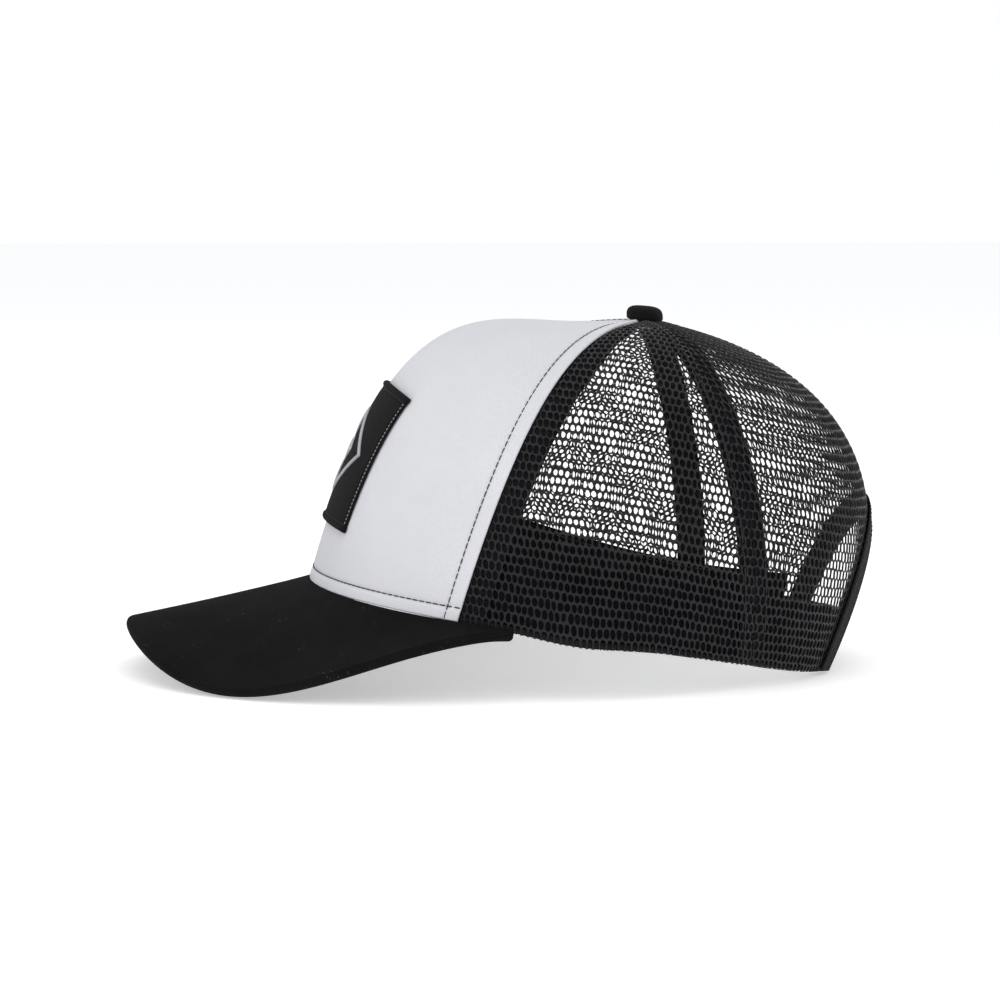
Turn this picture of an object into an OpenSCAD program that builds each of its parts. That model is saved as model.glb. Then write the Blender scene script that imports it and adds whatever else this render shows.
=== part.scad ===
// Five-panel trucker cap, millimetres, +Z up, brim towards -Y, wearer's left towards +X.
// The cap stands on a table: the brim's side edges and the two back corners touch z = 0.
// Angles named phi run round the button axis from the centre front (0) to the centre back (180).
// Heights named t run down a profile from the button (0) to the bottom edge (1).

/* [Crown] */
// Height of the crown's surface at the button
crown_h = 129; // [124:1:134]
// Front profile, upper control point: distance from the button axis
front_top_r = 48; // [44:1:52]
// Front profile, upper control point: height
front_top_z = 120; // [117:1:124]
// Front profile, wall control point: distance from the button axis
front_wall_r = 89; // [85:1:93]
// Front profile, wall control point: height
front_wall_z = 165; // [158:1:170]
// Front bottom edge: distance from the button axis
front_edge_r = 125.5; // [120:0.5:130]
// Front bottom edge: height
front_edge_z = 33; // [30:1:36]
// Side profile, upper control point: distance from the button axis
side_top_r = 68; // [62:1:72]
// Side profile, upper control point: height
side_top_z = 134; // [130:1:137]
// Side profile, wall control point: distance from the button axis
side_wall_r = 83; // [80:1:87]
// Side profile, wall control point: height
side_wall_z = 73; // [66:1:80]
// Side bottom edge: distance from the button axis
side_edge_r = 82; // [78:1:86]
// Side bottom edge: height
side_edge_z = 15; // [13:1:18]
// Back profile, upper control point: distance from the button axis
back_top_r = 46.5; // [42:0.5:50]
// Back profile, upper control point: height
back_top_z = 122; // [118:1:125]
// Back profile, wall control point: distance from the button axis
back_wall_r = 113; // [108:1:118]
// Back profile, wall control point: height
back_wall_z = 90; // [85:1:95]
// Back bottom edge: distance from the button axis
back_edge_r = 72; // [69:1:75]
// Back bottom edge: height, a virtual point inside the arch opening
back_edge_z = -1.7; // [-2:0.1:0]

/* [Panels and seams] */
// Front seam: angle at the button
front_seam_top = 60; // [54:1:64]
// Front seam: angle at the bottom edge
front_seam_edge = 45.5; // [42:0.5:48]
// Side seam: angle at the button
side_seam_top = 102; // [98:1:106]
// Side seam: angle at the bottom edge
side_seam_edge = 113.5; // [110:0.5:117]
// Thickness of every crown panel
panel_t = 1.2; // [0.9:0.1:1.3]
// Gap between two panels at a seam
seam_gap = 0.3; // [0.2:0.05:0.5]
// Gap between two layers of the crown
layer_gap = 0.2; // [0.15:0.05:0.25]
// Start of the panels round the button's shank, on the t scale
pole_t = 0.02; // [0.018:0.001:0.03]
// Thickness of the front stiffener
stiffener_t = 0.9; // [0.6:0.1:1]
// Distance from a front seam to the edge of the stiffener
stiffener_inset = 6.8; // [6.6:0.1:9]
// Start of the stiffener below the button, on the t scale
stiffener_top_t = 0.12; // [0.1:0.01:0.2]
// Width of the seam tapes
tape_w = 12; // [10:0.5:13]
// Thickness of the seam tapes
tape_t = 0.7; // [0.4:0.1:0.8]
// Shift of the front seam tapes towards the mesh
front_tape_shift = 2.8; // [0:0.1:3]
// Start of the tapes below the button, on the t scale
tape_top_t = 0.11; // [0.1:0.01:0.16]
// Distance from the front seam to the stitch row beside it
topstitch_inset = 5; // [3:0.5:6]
// Height of the lower stitch row above the front's bottom edge
topstitch_rise = 4.8; // [3:0.1:6]
// Width of a row of thread
thread_w = 0.7; // [0.4:0.1:1]
// Height of a row of thread on the cloth
thread_h = 0.35; // [0.2:0.05:0.5]

/* [Sweatband] */
// Height of the sweatband
sweatband_h = 26; // [22:1:36]
// Thickness of the sweatband's facing
sweatband_t = 0.6; // [0.4:0.1:0.8]
// Thickness of the padding strip behind the facing
padding_t = 0.7; // [0.5:0.1:0.8]
// Angle from the centre back to each end of the sweatband
sweatband_end = 34; // [33.5:0.5:38]

/* [Brim] */
// Half angle of the brim's seam on the crown
brim_phi = 58; // [55:1:66]
// Distance of the brim's front edge from the button axis
brim_tip_r = 193.5; // [188:0.5:202]
// Height of the brim's front edge at the centre
brim_tip_z = 17; // [16:0.1:20]
// Extra half width of the brim past the ends of its seam
brim_flare = 11; // [4:1:14]
// Drop of the brim's side edges under a straight line from tip to corner
brim_dip = 18.92; // [16:0.1:19.5]
// Thickness of the brim's board
board_t = 1.8; // [1.6:0.1:2.2]
// Thickness of each brim cover
cover_t = 0.8; // [0.5:0.1:0.9]
// Part of the brim's reach that the board fills
board_reach = 0.97; // [0.94:0.005:0.98]
// Part of the brim's half width that is built, short of its pointed ends
brim_span = 0.95; // [0.94:0.005:0.96]
// Depth of the brim's seam edge under the crown's bottom edge
brim_tuck = 0.8; // [0.5:0.1:1]

/* [Back opening and straps] */
// Half angle of the arch at the bottom edge
arch_phi = 27; // [26:0.5:29]
// Height of the arch along the cloth
arch_h = 57; // [53:1:60]
// Width of the binding on each face of the arch
binding_w = 9; // [7:0.5:10]
// Thickness of the binding
binding_t = 0.7; // [0.5:0.1:0.8]
// Height of the snap straps
strap_h = 17; // [15:0.5:18]
// Height of the straps' lower edges above the table
strap_z = 1.6; // [1.5:0.1:2]
// Thickness of each strap
strap_t = 1.2; // [1:0.1:1.3]
// Angle from the centre back to each strap's flex line
strap_root = 20; // [19.5:0.5:20.5]
// Gap between the flex line and the stitched tab
flex_gap = 4.8; // [4.6:0.1:5]
// Angle from the centre back to the outer end of each stitched tab
tab_end = 33; // [31:0.5:33]
// Lean of the back wall and the straps from upright
strap_lean = 22; // [20:0.5:23]
// Pegs on the inner strap, and holes in the outer one
peg_count = 6; // [4:2:6]
// Angle between two pegs, seen from the button axis
peg_pitch = 5.32; // [5.2:0.01:5.4]
// Radius of a peg
peg_r = 1.8; // [1.6:0.1:1.8]
// Height of a peg above its strap
peg_h = 1.7; // [1.6:0.1:1.8]
// Radius of a hole
hole_r = 2; // [2:0.1:2.2]

/* [Button] */
// Radius of the covered button
button_r = 6.8; // [6:0.1:7.5]
// Height of the covered button
button_h = 5; // [4:0.1:5.5]
// Height of the button's rim above the crown's surface at the axis
button_lift = 0.7; // [0.6:0.1:1]
// Thickness of the button's cloth cover
button_cover_t = 0.5; // [0.4:0.1:0.7]
// Thickness of the button's metal shell
button_shell_t = 0.6; // [0.5:0.1:0.8]
// Radius of the tack's shank
tack_r = 1.2; // [1:0.1:1.4]
// Radius of the tack's head inside the crown
tack_head_r = 6; // [5:0.1:6.5]
// Thickness of the tack's head
tack_head_t = 0.8; // [0.6:0.1:1]
// Depth of the tack's head under the crown's surface at the axis
tack_depth = 2.7; // [2.6:0.1:3]

/* [Patch] */
// Width of the square patch
patch_w = 62; // [56:1:66]
// Height of the patch's lower edge above the front's bottom edge
patch_rise = 23; // [20:1:26]
// Height of the patch along the cloth
patch_h = 56; // [50:1:60]
// Thickness of the patch
patch_t = 1.3; // [0.8:0.1:1.6]
// Distance from the patch's edge to its stitch row
patch_stitch_inset = 1.6; // [1:0.1:3]
// Half width of the plain diamond worked on the patch
diamond_w = 21; // [16:1:23]
// Half height of the plain diamond worked on the patch
diamond_h = 17; // [14:1:20]
// Width of the diamond's outline
diamond_line = 2.4; // [1.5:0.1:3]
// Half size of the small solid diamond in the middle
diamond_dot = 5; // [3:0.5:7]
// Height of the embroidery on the patch
emblem_t = 0.6; // [0.4:0.1:0.8]

/* [Hidden] */
$fn = 48;

profile_steps = 24;
wall_steps = 8;
arch_steps = 12;
crown_back_r = max([for (k = [0 : profile_steps])
    profile(0, back_top_r, back_wall_r, back_edge_r, k/profile_steps)]);
binding_stand = binding_t - layer_gap;
crown_y = (brim_tip_r - crown_back_r - binding_stand)/2;
phi_step = 0.5;
t_step = 0.002;
sliver = 0.02;
edge_step = 0.003;
tape_shift_span = 0.25;
tape_depth = panel_t + layer_gap;
padding_depth = panel_t + stiffener_t + 2*layer_gap;
facing_depth = padding_depth + padding_t + layer_gap;
cover_depth = board_t/2 + layer_gap;
edge_mm_deg = 180/(PI*back_edge_r);
outer_strap_depth = padding_depth + layer_gap;
strap_space = 0.3;
inner_strap_depth = outer_strap_depth + strap_t + strap_space;
strap_mid_z = strap_z + strap_h/2;
peg_first = -(peg_count - 1)/2*peg_pitch;

white_cloth = [0.88, 0.88, 0.9];
black_cloth = [0.06, 0.06, 0.065];
black_mesh = [0.09, 0.09, 0.1];
black_tape = [0.12, 0.12, 0.13];
lining = [0.2, 0.2, 0.21];
thread_grey = [0.72, 0.72, 0.75];
board_grey = [0.55, 0.56, 0.58];
strap_black = [0.04, 0.04, 0.045];
steel = [0.7, 0.7, 0.72];

// ---- Crown surface -------------------------------------------------------------------------

// Value at angle phi of a quantity known at the front, the sides and the back
function around(front, side, back, phi) =
    (front + back + 2*side)/4 + (front - back)/2*cos(phi) + (front + back - 2*side)/4*cos(2*phi);

// Cubic curve through a and d with the control values b and c
function profile(a, b, c, d, t) =
    pow(1 - t, 3)*a + 3*pow(1 - t, 2)*t*b + 3*(1 - t)*t*t*c + pow(t, 3)*d;

function crown_r(phi, t) = profile(0,
    around(front_top_r, side_top_r, back_top_r, phi),
    around(front_wall_r, side_wall_r, back_wall_r, phi),
    around(front_edge_r, side_edge_r, back_edge_r, phi), t);

function crown_z(phi, t) = profile(crown_h,
    around(front_top_z, side_top_z, back_top_z, phi),
    around(front_wall_z, side_wall_z, back_wall_z, phi),
    around(front_edge_z, side_edge_z, back_edge_z, phi), t);

function crown(phi, t) =
    [crown_r(phi, t)*sin(phi), crown_y - crown_r(phi, t)*cos(phi), crown_z(phi, t)];

function unit(v) = v/norm(v);

function crown_normal(phi, t) = unit(cross(
    crown(phi, t + t_step) - crown(phi, t - t_step),
    crown(phi + phi_step, t) - crown(phi - phi_step, t)));

// Point at a depth under the crown's outer face; a negative depth stands on it
function under(phi, t, depth) = crown(phi, t) - depth*crown_normal(phi, t);

// Angle that a length along the cloth covers at a point of the crown
function turn(length, phi, t) = length/crown_r(phi, t)*180/PI;

// Height t at which a point lies a given length up the cloth from the bottom edge
function rise_of(phi, t) = norm(crown(phi, t) - crown(phi, 1));
function t_up(phi, rise, t = 1, n = 7) =
    n == 0 || rise < sliver ? t
    : t_up(phi, rise, t + (rise_of(phi, t) - rise)*t_step
        /(rise_of(phi, t - t_step) - rise_of(phi, t)), n - 1);

function mix(a, b, w) = a + (b - a)*w;
function seam_front(t) = mix(front_seam_top, front_seam_edge, t*(1 + t)/2);
function seam_side(t) = mix(side_seam_top, side_seam_edge, t*(3 - t)/2);

// ---- Sheets --------------------------------------------------------------------------------

// Closed sheet between two point grids of the same size
module sheet(face, back) {
    rows = len(face);
    cols = len(face[0]);
    back_at = rows*cols;
    points = concat([for (row = face) each row], [for (row = back) each row]);
    faces = concat(
        [for (i = [0 : rows - 2], j = [0 : cols - 2]) let (a = i*cols + j, b = a + cols)
            each [[a, b + 1, a + 1], [a, b, b + 1]]],
        [for (i = [0 : rows - 2], j = [0 : cols - 2])
            let (a = back_at + i*cols + j, b = a + cols) each [[a, a + 1, b + 1], [a, b + 1, b]]],
        [for (i = [0 : rows - 2]) let (a = i*cols, b = a + cols)
            each [[a, a + back_at, b + back_at], [a, b + back_at, b]]],
        [for (i = [0 : rows - 2]) let (a = i*cols + cols - 1, b = a + cols)
            each [[a, b, b + back_at], [a, b + back_at, a + back_at]]],
        [for (j = [0 : cols - 2])
            each [[j, j + 1, j + 1 + back_at], [j, j + 1 + back_at, j + back_at]]],
        [for (j = [0 : cols - 2]) let (a = back_at - cols + j)
            each [[a, a + back_at, a + 1 + back_at], [a, a + 1 + back_at, a + 1]]]);
    polyhedron(points, faces, convexity = 6);
}

// Grid of points between two seams, from one t to another, at one depth
function seam_grid(low, high, t_low, t_high, depth, n_phi, n_t) = [
    for (i = [0 : n_phi]) [
        for (j = [0 : n_t]) let (t = mix(t_low, t_high, j/n_t))
            under(mix(low(t), high(t), i/n_phi), t, depth)]];

module crown_sheet(low, high, t_low, t_high, depth, thick, n_phi, n_t) {
    sheet(seam_grid(low, high, t_low, t_high, depth, n_phi, n_t),
        seam_grid(low, high, t_low, t_high, depth + thick, n_phi, n_t));
}

// Band of one width along a seam
module seam_band(seam, shift, width, t_low, t_high, depth, thick, n_t) {
    low = function (t) seam(t) + turn(shift - width/2, seam(t), t);
    high = function (t) seam(t) + turn(shift + width/2, seam(t), t);
    crown_sheet(low, high, t_low, t_high, depth, thick, 2, n_t);
}

// Band of one height that follows the bottom edge, from one angle to another
module edge_band(phi_low, phi_high, rise_low, rise_high, depth, thick, n_phi, n_t) {
    grid = function (d) [
        for (i = [0 : n_phi]) let (phi = mix(phi_low, phi_high, i/n_phi)) [
            for (j = [0 : n_t]) under(phi, t_up(phi, mix(rise_high, rise_low, j/n_t)), d)]];
    sheet(grid(depth), grid(depth + thick));
}

// ---- Crown panels --------------------------------------------------------------------------

module front_panel() {
    color(white_cloth) crown_sheet(
        function (t) -seam_front(t) + turn(seam_gap/2, 0, t),
        function (t) seam_front(t) - turn(seam_gap/2, 0, t),
        pole_t, 1, 0, panel_t, 28, 20);
}

module front_stiffener() {
    color(lining) crown_sheet(
        function (t) -seam_front(t) + turn(stiffener_inset, seam_front(t), t),
        function (t) seam_front(t) - turn(stiffener_inset, seam_front(t), t),
        stiffener_top_t, 1, panel_t + layer_gap, stiffener_t, 22, 16);
}

module front_topstitch() {
    end_phi = seam_front(1) - turn(topstitch_inset, seam_front(1), 1);
    color(black_cloth) {
        for (side = [-1, 1])
            seam_band(function (t) side*seam_front(t), -side*topstitch_inset, thread_w,
                tape_top_t, t_up(end_phi, topstitch_rise), -thread_h - layer_gap/2, thread_h, 20);
        edge_band(-end_phi, end_phi, topstitch_rise, topstitch_rise + thread_w,
            -thread_h - layer_gap/2, thread_h, 28, 1);
    }
}

module side_mesh_left() {
    color(black_mesh) crown_sheet(
        function (t) seam_front(t) + turn(seam_gap/2, seam_front(t), t),
        function (t) seam_side(t) - turn(seam_gap/2, seam_side(t), t),
        pole_t, 1, 0, panel_t, 18, 20);
}

module side_mesh_right() {
    mirror([1, 0, 0]) side_mesh_left();
}

// Angles of the back panel's columns: even down to the arch, then closing in on its curve
function back_columns() = concat(
    [for (k = [0 : wall_steps - 1]) mix(seam_side(1), 180 - arch_phi, k/wall_steps)],
    [for (k = [0 : arch_steps]) 180 - arch_phi*cos(90*k/arch_steps)]);

// Height of the arch along the cloth over an angle, zero outside the arch
function arch_rise(phi) = let (w = (180 - phi)/arch_phi) w >= 1 ? 0 : arch_h*sqrt(1 - w*w);

function back_grid(depth, n_t) = [
    for (phi = back_columns())
        let (t_end = t_up(phi, arch_rise(phi)),
            share = (phi - seam_side(t_end))/(180 - seam_side(t_end))) [
            for (j = [0 : n_t])
                let (t = mix(pole_t, t_end, j/n_t),
                    low = seam_side(t) + turn(seam_gap/2, seam_side(t), t),
                    high = 180 - turn(seam_gap/2, 180, t))
                under(mix(low, high, share), t, depth)]];

module back_mesh_left() {
    color(black_mesh)
        sheet(back_grid(0, 20), back_grid(panel_t, 20));
}

module back_mesh_right() {
    mirror([1, 0, 0]) back_mesh_left();
}

// ---- Tapes, binding and sweatband ----------------------------------------------------------

module seam_tape_front_left() {
    middle = function (t) seam_front(t) + turn(
        front_tape_shift*min(1, (t - tape_top_t)/tape_shift_span), seam_front(t), t);
    color(black_tape) seam_band(middle, 0, tape_w, tape_top_t, 1, tape_depth, tape_t, 22);
}

module seam_tape_front_right() {
    mirror([1, 0, 0]) seam_tape_front_left();
}

module seam_tape_side_left() {
    color(black_tape) seam_band(function (t) seam_side(t), 0, tape_w,
        tape_top_t, 1, tape_depth, tape_t, 22);
}

module seam_tape_side_right() {
    mirror([1, 0, 0]) seam_tape_side_left();
}

module seam_tape_back() {
    color(black_tape) seam_band(function (t) 180, 0, tape_w,
        tape_top_t, t_up(180, arch_h + binding_w + seam_gap), tape_depth, tape_t, 16);
}

// Point near the arch's edge: a runs from one foot (-90) over the apex to the other (90),
// out is the distance from the edge into the cloth
function arch_point(a, out, depth) =
    let (phi = 180 + (arch_phi + out*edge_mm_deg)*sin(a),
        t = t_up(phi, (arch_h + out)*cos(a)))
    under(phi, t, depth);

// Folded tape round the arch: an outer leaf, a web over the raw edge and an inner leaf.
// Its feet end just above the bottom edge, so that the cap stands on its panels.
module arch_binding() {
    steps = 2*arch_steps;
    foot = 89;
    outer = -layer_gap;
    inner = panel_t + layer_gap;
    section = [
        [binding_w, outer - binding_t], [binding_w/2, outer - binding_t],
        [outer - binding_t, outer - binding_t], [outer - binding_t, inner + binding_t],
        [binding_w/2, inner + binding_t], [binding_w, inner + binding_t],
        [binding_w, inner], [binding_w/2, inner], [outer, inner],
        [outer, outer], [binding_w/2, outer], [binding_w, outer]];
    count = len(section);
    points = [for (i = [0 : steps], p = section)
        arch_point(mix(-foot, foot, i/steps), p[0], p[1])];
    last = steps*count;
    end_cap = [for (quad = [[0, 1, 10, 11], [1, 2, 9, 10], [2, 3, 8, 9], [3, 4, 7, 8], [4, 5, 6, 7]])
        each [[quad[0], quad[1], quad[2]], [quad[0], quad[2], quad[3]]]];
    sides = [for (i = [0 : steps - 1], j = [0 : count - 1])
        let (a = i*count + j, b = i*count + (j + 1)%count)
        each [[a, b + count, b], [a, a + count, b + count]]];
    faces = concat(sides, end_cap,
        [for (f = end_cap) [f[0] + last, f[2] + last, f[1] + last]]);
    color(black_tape) polyhedron(points, faces, convexity = 8);
}

module sweatband_padding() {
    color(lining) edge_band(sweatband_end - 180, 180 - sweatband_end, 0, sweatband_h,
        padding_depth, padding_t, 60, 3);
}

module sweatband() {
    color(black_cloth) edge_band(sweatband_end - 180, 180 - sweatband_end, 0, sweatband_h,
        facing_depth, sweatband_t, 60, 3);
}

// ---- Brim ----------------------------------------------------------------------------------

// Seam end of a ruling, tucked under the crown's bottom edge
function brim_seam(s) = under(s*brim_phi, 1, brim_tuck)
    - [0, 0, board_t/2 + cover_t + 2*layer_gap];

// Outer edge: a bow from one end of the seam over the tip to the other
function brim_edge(s) =
    let (corner = crown(brim_phi, 1), bow = s*90, side = corner[0])
    [side*sin(bow) + sign(s)*brim_flare*sin(2*abs(bow)),
        corner[1] - (brim_tip_r - crown_y + corner[1])*cos(bow),
        brim_tip_z*pow(cos(bow), 2) + corner[2]*pow(sin(bow), 2) - brim_dip*pow(sin(2*bow), 2)];

function brim(s, u) = mix(brim_seam(s), brim_edge(s), u);

function brim_normal(s, u) = unit(cross(
    brim(s, 1) - brim(s, 0), brim(s + t_step, u) - brim(s - t_step, u)));

// Grid of the brim at a height over its middle surface; heights holds one value per row of u
function brim_grid(rows_u, heights, n_s) = [
    for (i = [0 : n_s]) let (s = brim_span*mix(-1, 1, i/n_s)) [
        for (j = [0 : len(rows_u) - 1])
            brim(s, rows_u[j]) + heights[j]*brim_normal(s, rows_u[j])]];

function even(n, top) = [for (j = [0 : n]) top*j/n];
function same(value, rows) = [for (r = rows) value];

module brim_board() {
    rows = even(5, board_reach);
    color(board_grey)
        sheet(brim_grid(rows, same(board_t/2, rows), 32), brim_grid(rows, same(-board_t/2, rows), 32));
}

// A cover lies on one face of the board and turns over its edge to the middle
module brim_cover() {
    past_board = board_reach + edge_step;
    rows = concat(even(5, board_reach), [past_board, 1]);
    outer = same(cover_depth + cover_t, rows);
    inner = [for (u = rows) u < past_board ? cover_depth : layer_gap/2];
    sheet(brim_grid(rows, outer, 32), brim_grid(rows, inner, 32));
}

module brim_top_cover() {
    color(black_cloth) brim_cover();
}

module brim_under_cover() {
    past_board = board_reach + edge_step;
    rows = concat(even(5, board_reach), [past_board, 1]);
    outer = same(-cover_depth - cover_t, rows);
    inner = [for (u = rows) u < past_board ? -cover_depth : -layer_gap/2];
    color(black_cloth) sheet(brim_grid(rows, inner, 32), brim_grid(rows, outer, 32));
}

// ---- Button --------------------------------------------------------------------------------

// Half section of a dome with a rim of height 0
function dome(r, h, steps = 12) = [for (k = [0 : steps]) [r*cos(90*k/steps), h*sin(90*k/steps)]];

module dome_shell(r, h, thick) {
    inner = dome(r - thick, h - thick);
    rotate_extrude() polygon(concat(dome(r, h), [for (k = [len(inner) - 1 : -1 : 0]) inner[k]]));
}

module button_cover() {
    color(black_cloth) translate([0, crown_y, crown_h + button_lift])
        dome_shell(button_r, button_h - button_lift, button_cover_t);
}

module button_shell() {
    clear = button_cover_t + layer_gap;
    color(steel) translate([0, crown_y, crown_h + button_lift])
        dome_shell(button_r - clear, button_h - button_lift - clear, button_shell_t);
}

module button_tack() {
    shank_top = button_h - button_cover_t - button_shell_t - 3*layer_gap;
    color(steel) translate([0, crown_y, crown_h]) {
        translate([0, 0, -tack_depth - tack_head_t]) cylinder(r = tack_head_r, h = tack_head_t);
        translate([0, 0, -tack_depth - tack_head_t/2])
            cylinder(r = tack_r, h = tack_depth + tack_head_t/2 + shank_top);
    }
}

// ---- Patch ---------------------------------------------------------------------------------

// Height t at an angle phi that lies square to the centre line, level with t_mid on it
function level(phi, t_mid, t, n = 5) =
    let (up = unit(crown(0, t_mid + t_step) - crown(0, t_mid - t_step)),
        slope = (crown(phi, t + t_step) - crown(phi, t - t_step))*up/(2*t_step),
        off = (crown(phi, t) - crown(0, t_mid))*up)
    n == 0 ? t : level(phi, t_mid, t - off/slope, n - 1);

// Point on the patch: x across from its centre, y up from its lower edge
function patch_point(x, y, depth) =
    let (t = t_up(0, patch_rise + y), phi = turn(x, 0, t)) under(phi, level(phi, t, t), depth);

// Flat piece on the front between four corners given in the patch's own x and y
module patch_sheet(corners, depth, thick, n_x, n_y) {
    grid = function (d) [
        for (i = [0 : n_x]) [
            for (j = [0 : n_y])
                let (low = mix(corners[0], corners[1], i/n_x),
                    high = mix(corners[3], corners[2], i/n_x),
                    p = mix(high, low, j/n_y))
                patch_point(p[0], p[1], d)]];
    sheet(grid(depth), grid(depth + thick));
}

module patch() {
    half = patch_w/2;
    color(black_cloth) patch_sheet(
        [[-half, 0], [half, 0], [half, patch_h], [-half, patch_h]],
        -patch_t - layer_gap, patch_t, 16, 12);
}

// Row of thread with one width between the corners of a loop
module patch_loop(loop, width, height) {
    count = len(loop);
    centre = [0, patch_h/2];
    for (k = [0 : count - 1]) {
        a = loop[k];
        b = loop[(k + 1)%count];
        inner_a = a + unit(centre - a)*width;
        inner_b = b + unit(centre - b)*width;
        patch_sheet([a, b, inner_b, inner_a], -patch_t - 2*layer_gap - height, height, 10, 1);
    }
}

module patch_stitching() {
    half = patch_w/2 - patch_stitch_inset;
    low = patch_stitch_inset;
    high = patch_h - patch_stitch_inset;
    color(thread_grey)
        patch_loop([[-half, low], [half, low], [half, high], [-half, high]], thread_w, thread_h);
}

module patch_emblem() {
    mid = patch_h/2;
    color(thread_grey) {
        patch_loop([[0, mid - diamond_h], [diamond_w, mid], [0, mid + diamond_h], [-diamond_w, mid]],
            diamond_line, emblem_t);
        patch_sheet([[0, mid - diamond_dot], [diamond_dot, mid],
            [0, mid + diamond_dot], [-diamond_dot, mid]],
            -patch_t - 2*layer_gap - emblem_t, emblem_t, 4, 4);
    }
}

// ---- Snap straps ---------------------------------------------------------------------------

// Distance from the button axis of a face of a strap, at a height and a depth under the wall
// where the tabs are stitched in
function strap_r(z, depth) = crown_r(180 - tab_end, 1)
    + (z - crown_z(180 - tab_end, 1))*tan(strap_lean) - depth/cos(strap_lean);

// Leaning band between two angles measured from the centre back, positive towards +X
module strap_band(from, to, depth) {
    z_low = strap_z;
    z_high = strap_z + strap_h;
    translate([0, crown_y, 0]) rotate([0, 0, 90 - to]) rotate_extrude(angle = to - from)
        polygon([
            [strap_r(z_low, depth + strap_t), z_low], [strap_r(z_low, depth), z_low],
            [strap_r(z_high, depth), z_high], [strap_r(z_high, depth + strap_t), z_high]]);
}

// Child placed on a strap's outer face, its +Z pointing straight out of that face
module on_strap(angle, depth) {
    translate([0, crown_y, 0]) rotate([0, 0, 90 - angle])
        translate([strap_r(strap_mid_z, depth), 0, strap_mid_z])
            rotate([0, 90 + strap_lean, 0]) children();
}

// Strap from its flex line to its round tip, for the side given by its sign
module strap_blank(side, depth) {
    tip = side*peg_first;
    root = side*strap_root;
    tip_end = tip - side*strap_h/2*edge_mm_deg;
    difference() {
        strap_band(min(tip_end, root), max(tip_end, root), depth);
        on_strap(tip, depth) difference() {
            translate([-strap_h, side > 0 ? 0 : -strap_h, -strap_h/2])
                cube([2*strap_h, strap_h, strap_h]);
            cylinder(r = strap_h/2, h = 2*strap_h, center = true);
        }
    }
}

module hole_strap() {
    color(strap_black) difference() {
        strap_blank(1, outer_strap_depth);
        for (k = [0 : peg_count - 1]) on_strap(peg_first + k*peg_pitch, outer_strap_depth)
            cylinder(r = hole_r, h = 4*strap_t, center = true);
    }
}

module peg_strap() {
    color(strap_black) {
        strap_blank(-1, inner_strap_depth);
        for (k = [0 : peg_count - 1]) on_strap(peg_first + k*peg_pitch, outer_strap_depth)
            translate([0, 0, -strap_t - strap_space - strap_t/2])
                cylinder(r = peg_r, h = peg_h + strap_t/2);
    }
}

module strap_tab(side, depth) {
    inner = strap_root + flex_gap*edge_mm_deg;
    strap_band(min(side*inner, side*tab_end), max(side*inner, side*tab_end), depth);
}

module hole_strap_tab() {
    color(strap_black) strap_tab(1, outer_strap_depth);
}

module peg_strap_tab() {
    color(strap_black) strap_tab(-1, inner_strap_depth);
}

front_panel();
front_stiffener();
front_topstitch();
side_mesh_left();
side_mesh_right();
back_mesh_left();
back_mesh_right();
seam_tape_front_left();
seam_tape_front_right();
seam_tape_side_left();
seam_tape_side_right();
seam_tape_back();
arch_binding();
sweatband();
sweatband_padding();
brim_board();
brim_top_cover();
brim_under_cover();
button_cover();
button_shell();
button_tack();
patch();
patch_stitching();
patch_emblem();
peg_strap();
peg_strap_tab();
hole_strap();
hole_strap_tab();
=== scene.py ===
"""Visual model of the trucker cap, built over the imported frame.

Lengths are in millimetres until a mesh is made, and angles in degrees.
phi runs round the button axis from the centre front (0) to the centre back (180), positive
towards the wearer's left (+X). t runs down a profile of the crown from the button (0) to the
bottom edge (1). Depths are measured under the crown's outer face.
"""

import bmesh
import bpy
import numpy as np
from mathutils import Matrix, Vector


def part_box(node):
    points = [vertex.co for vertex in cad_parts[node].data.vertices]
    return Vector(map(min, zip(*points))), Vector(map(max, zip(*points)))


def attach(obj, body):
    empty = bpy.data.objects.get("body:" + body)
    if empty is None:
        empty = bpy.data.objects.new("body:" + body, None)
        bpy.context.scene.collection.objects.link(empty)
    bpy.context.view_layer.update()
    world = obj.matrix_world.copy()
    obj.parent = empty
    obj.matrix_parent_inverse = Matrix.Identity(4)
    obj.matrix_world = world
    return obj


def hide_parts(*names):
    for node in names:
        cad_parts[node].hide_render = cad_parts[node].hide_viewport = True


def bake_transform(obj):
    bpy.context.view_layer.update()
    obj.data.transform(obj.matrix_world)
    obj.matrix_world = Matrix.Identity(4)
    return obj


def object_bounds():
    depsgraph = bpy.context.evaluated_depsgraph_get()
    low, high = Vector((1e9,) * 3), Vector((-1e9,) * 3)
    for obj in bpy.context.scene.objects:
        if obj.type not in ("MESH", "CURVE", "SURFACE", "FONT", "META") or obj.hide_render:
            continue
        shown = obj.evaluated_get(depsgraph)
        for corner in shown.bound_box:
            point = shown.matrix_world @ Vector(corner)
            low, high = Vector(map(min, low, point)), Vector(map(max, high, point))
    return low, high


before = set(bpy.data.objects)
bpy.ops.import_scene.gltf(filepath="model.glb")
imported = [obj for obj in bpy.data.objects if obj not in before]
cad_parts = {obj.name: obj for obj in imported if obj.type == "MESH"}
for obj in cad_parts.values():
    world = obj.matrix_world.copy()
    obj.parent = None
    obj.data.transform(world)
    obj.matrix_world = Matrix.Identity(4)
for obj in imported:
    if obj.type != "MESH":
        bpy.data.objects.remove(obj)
cad_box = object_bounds()

MM = 0.001


def box_mm(node):
    low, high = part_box(node)
    return np.array(low) / MM, np.array(high) / MM


# ---- Sizes shared with the CAD, in millimetres ------------------------------------------------

TACK_LOW, TACK_HIGH = box_mm("button_tack")
AXIS_Y = (TACK_LOW[1] + TACK_HIGH[1]) / 2
BUTTON_LOW, BUTTON_HIGH = box_mm("button_cover")

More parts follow.
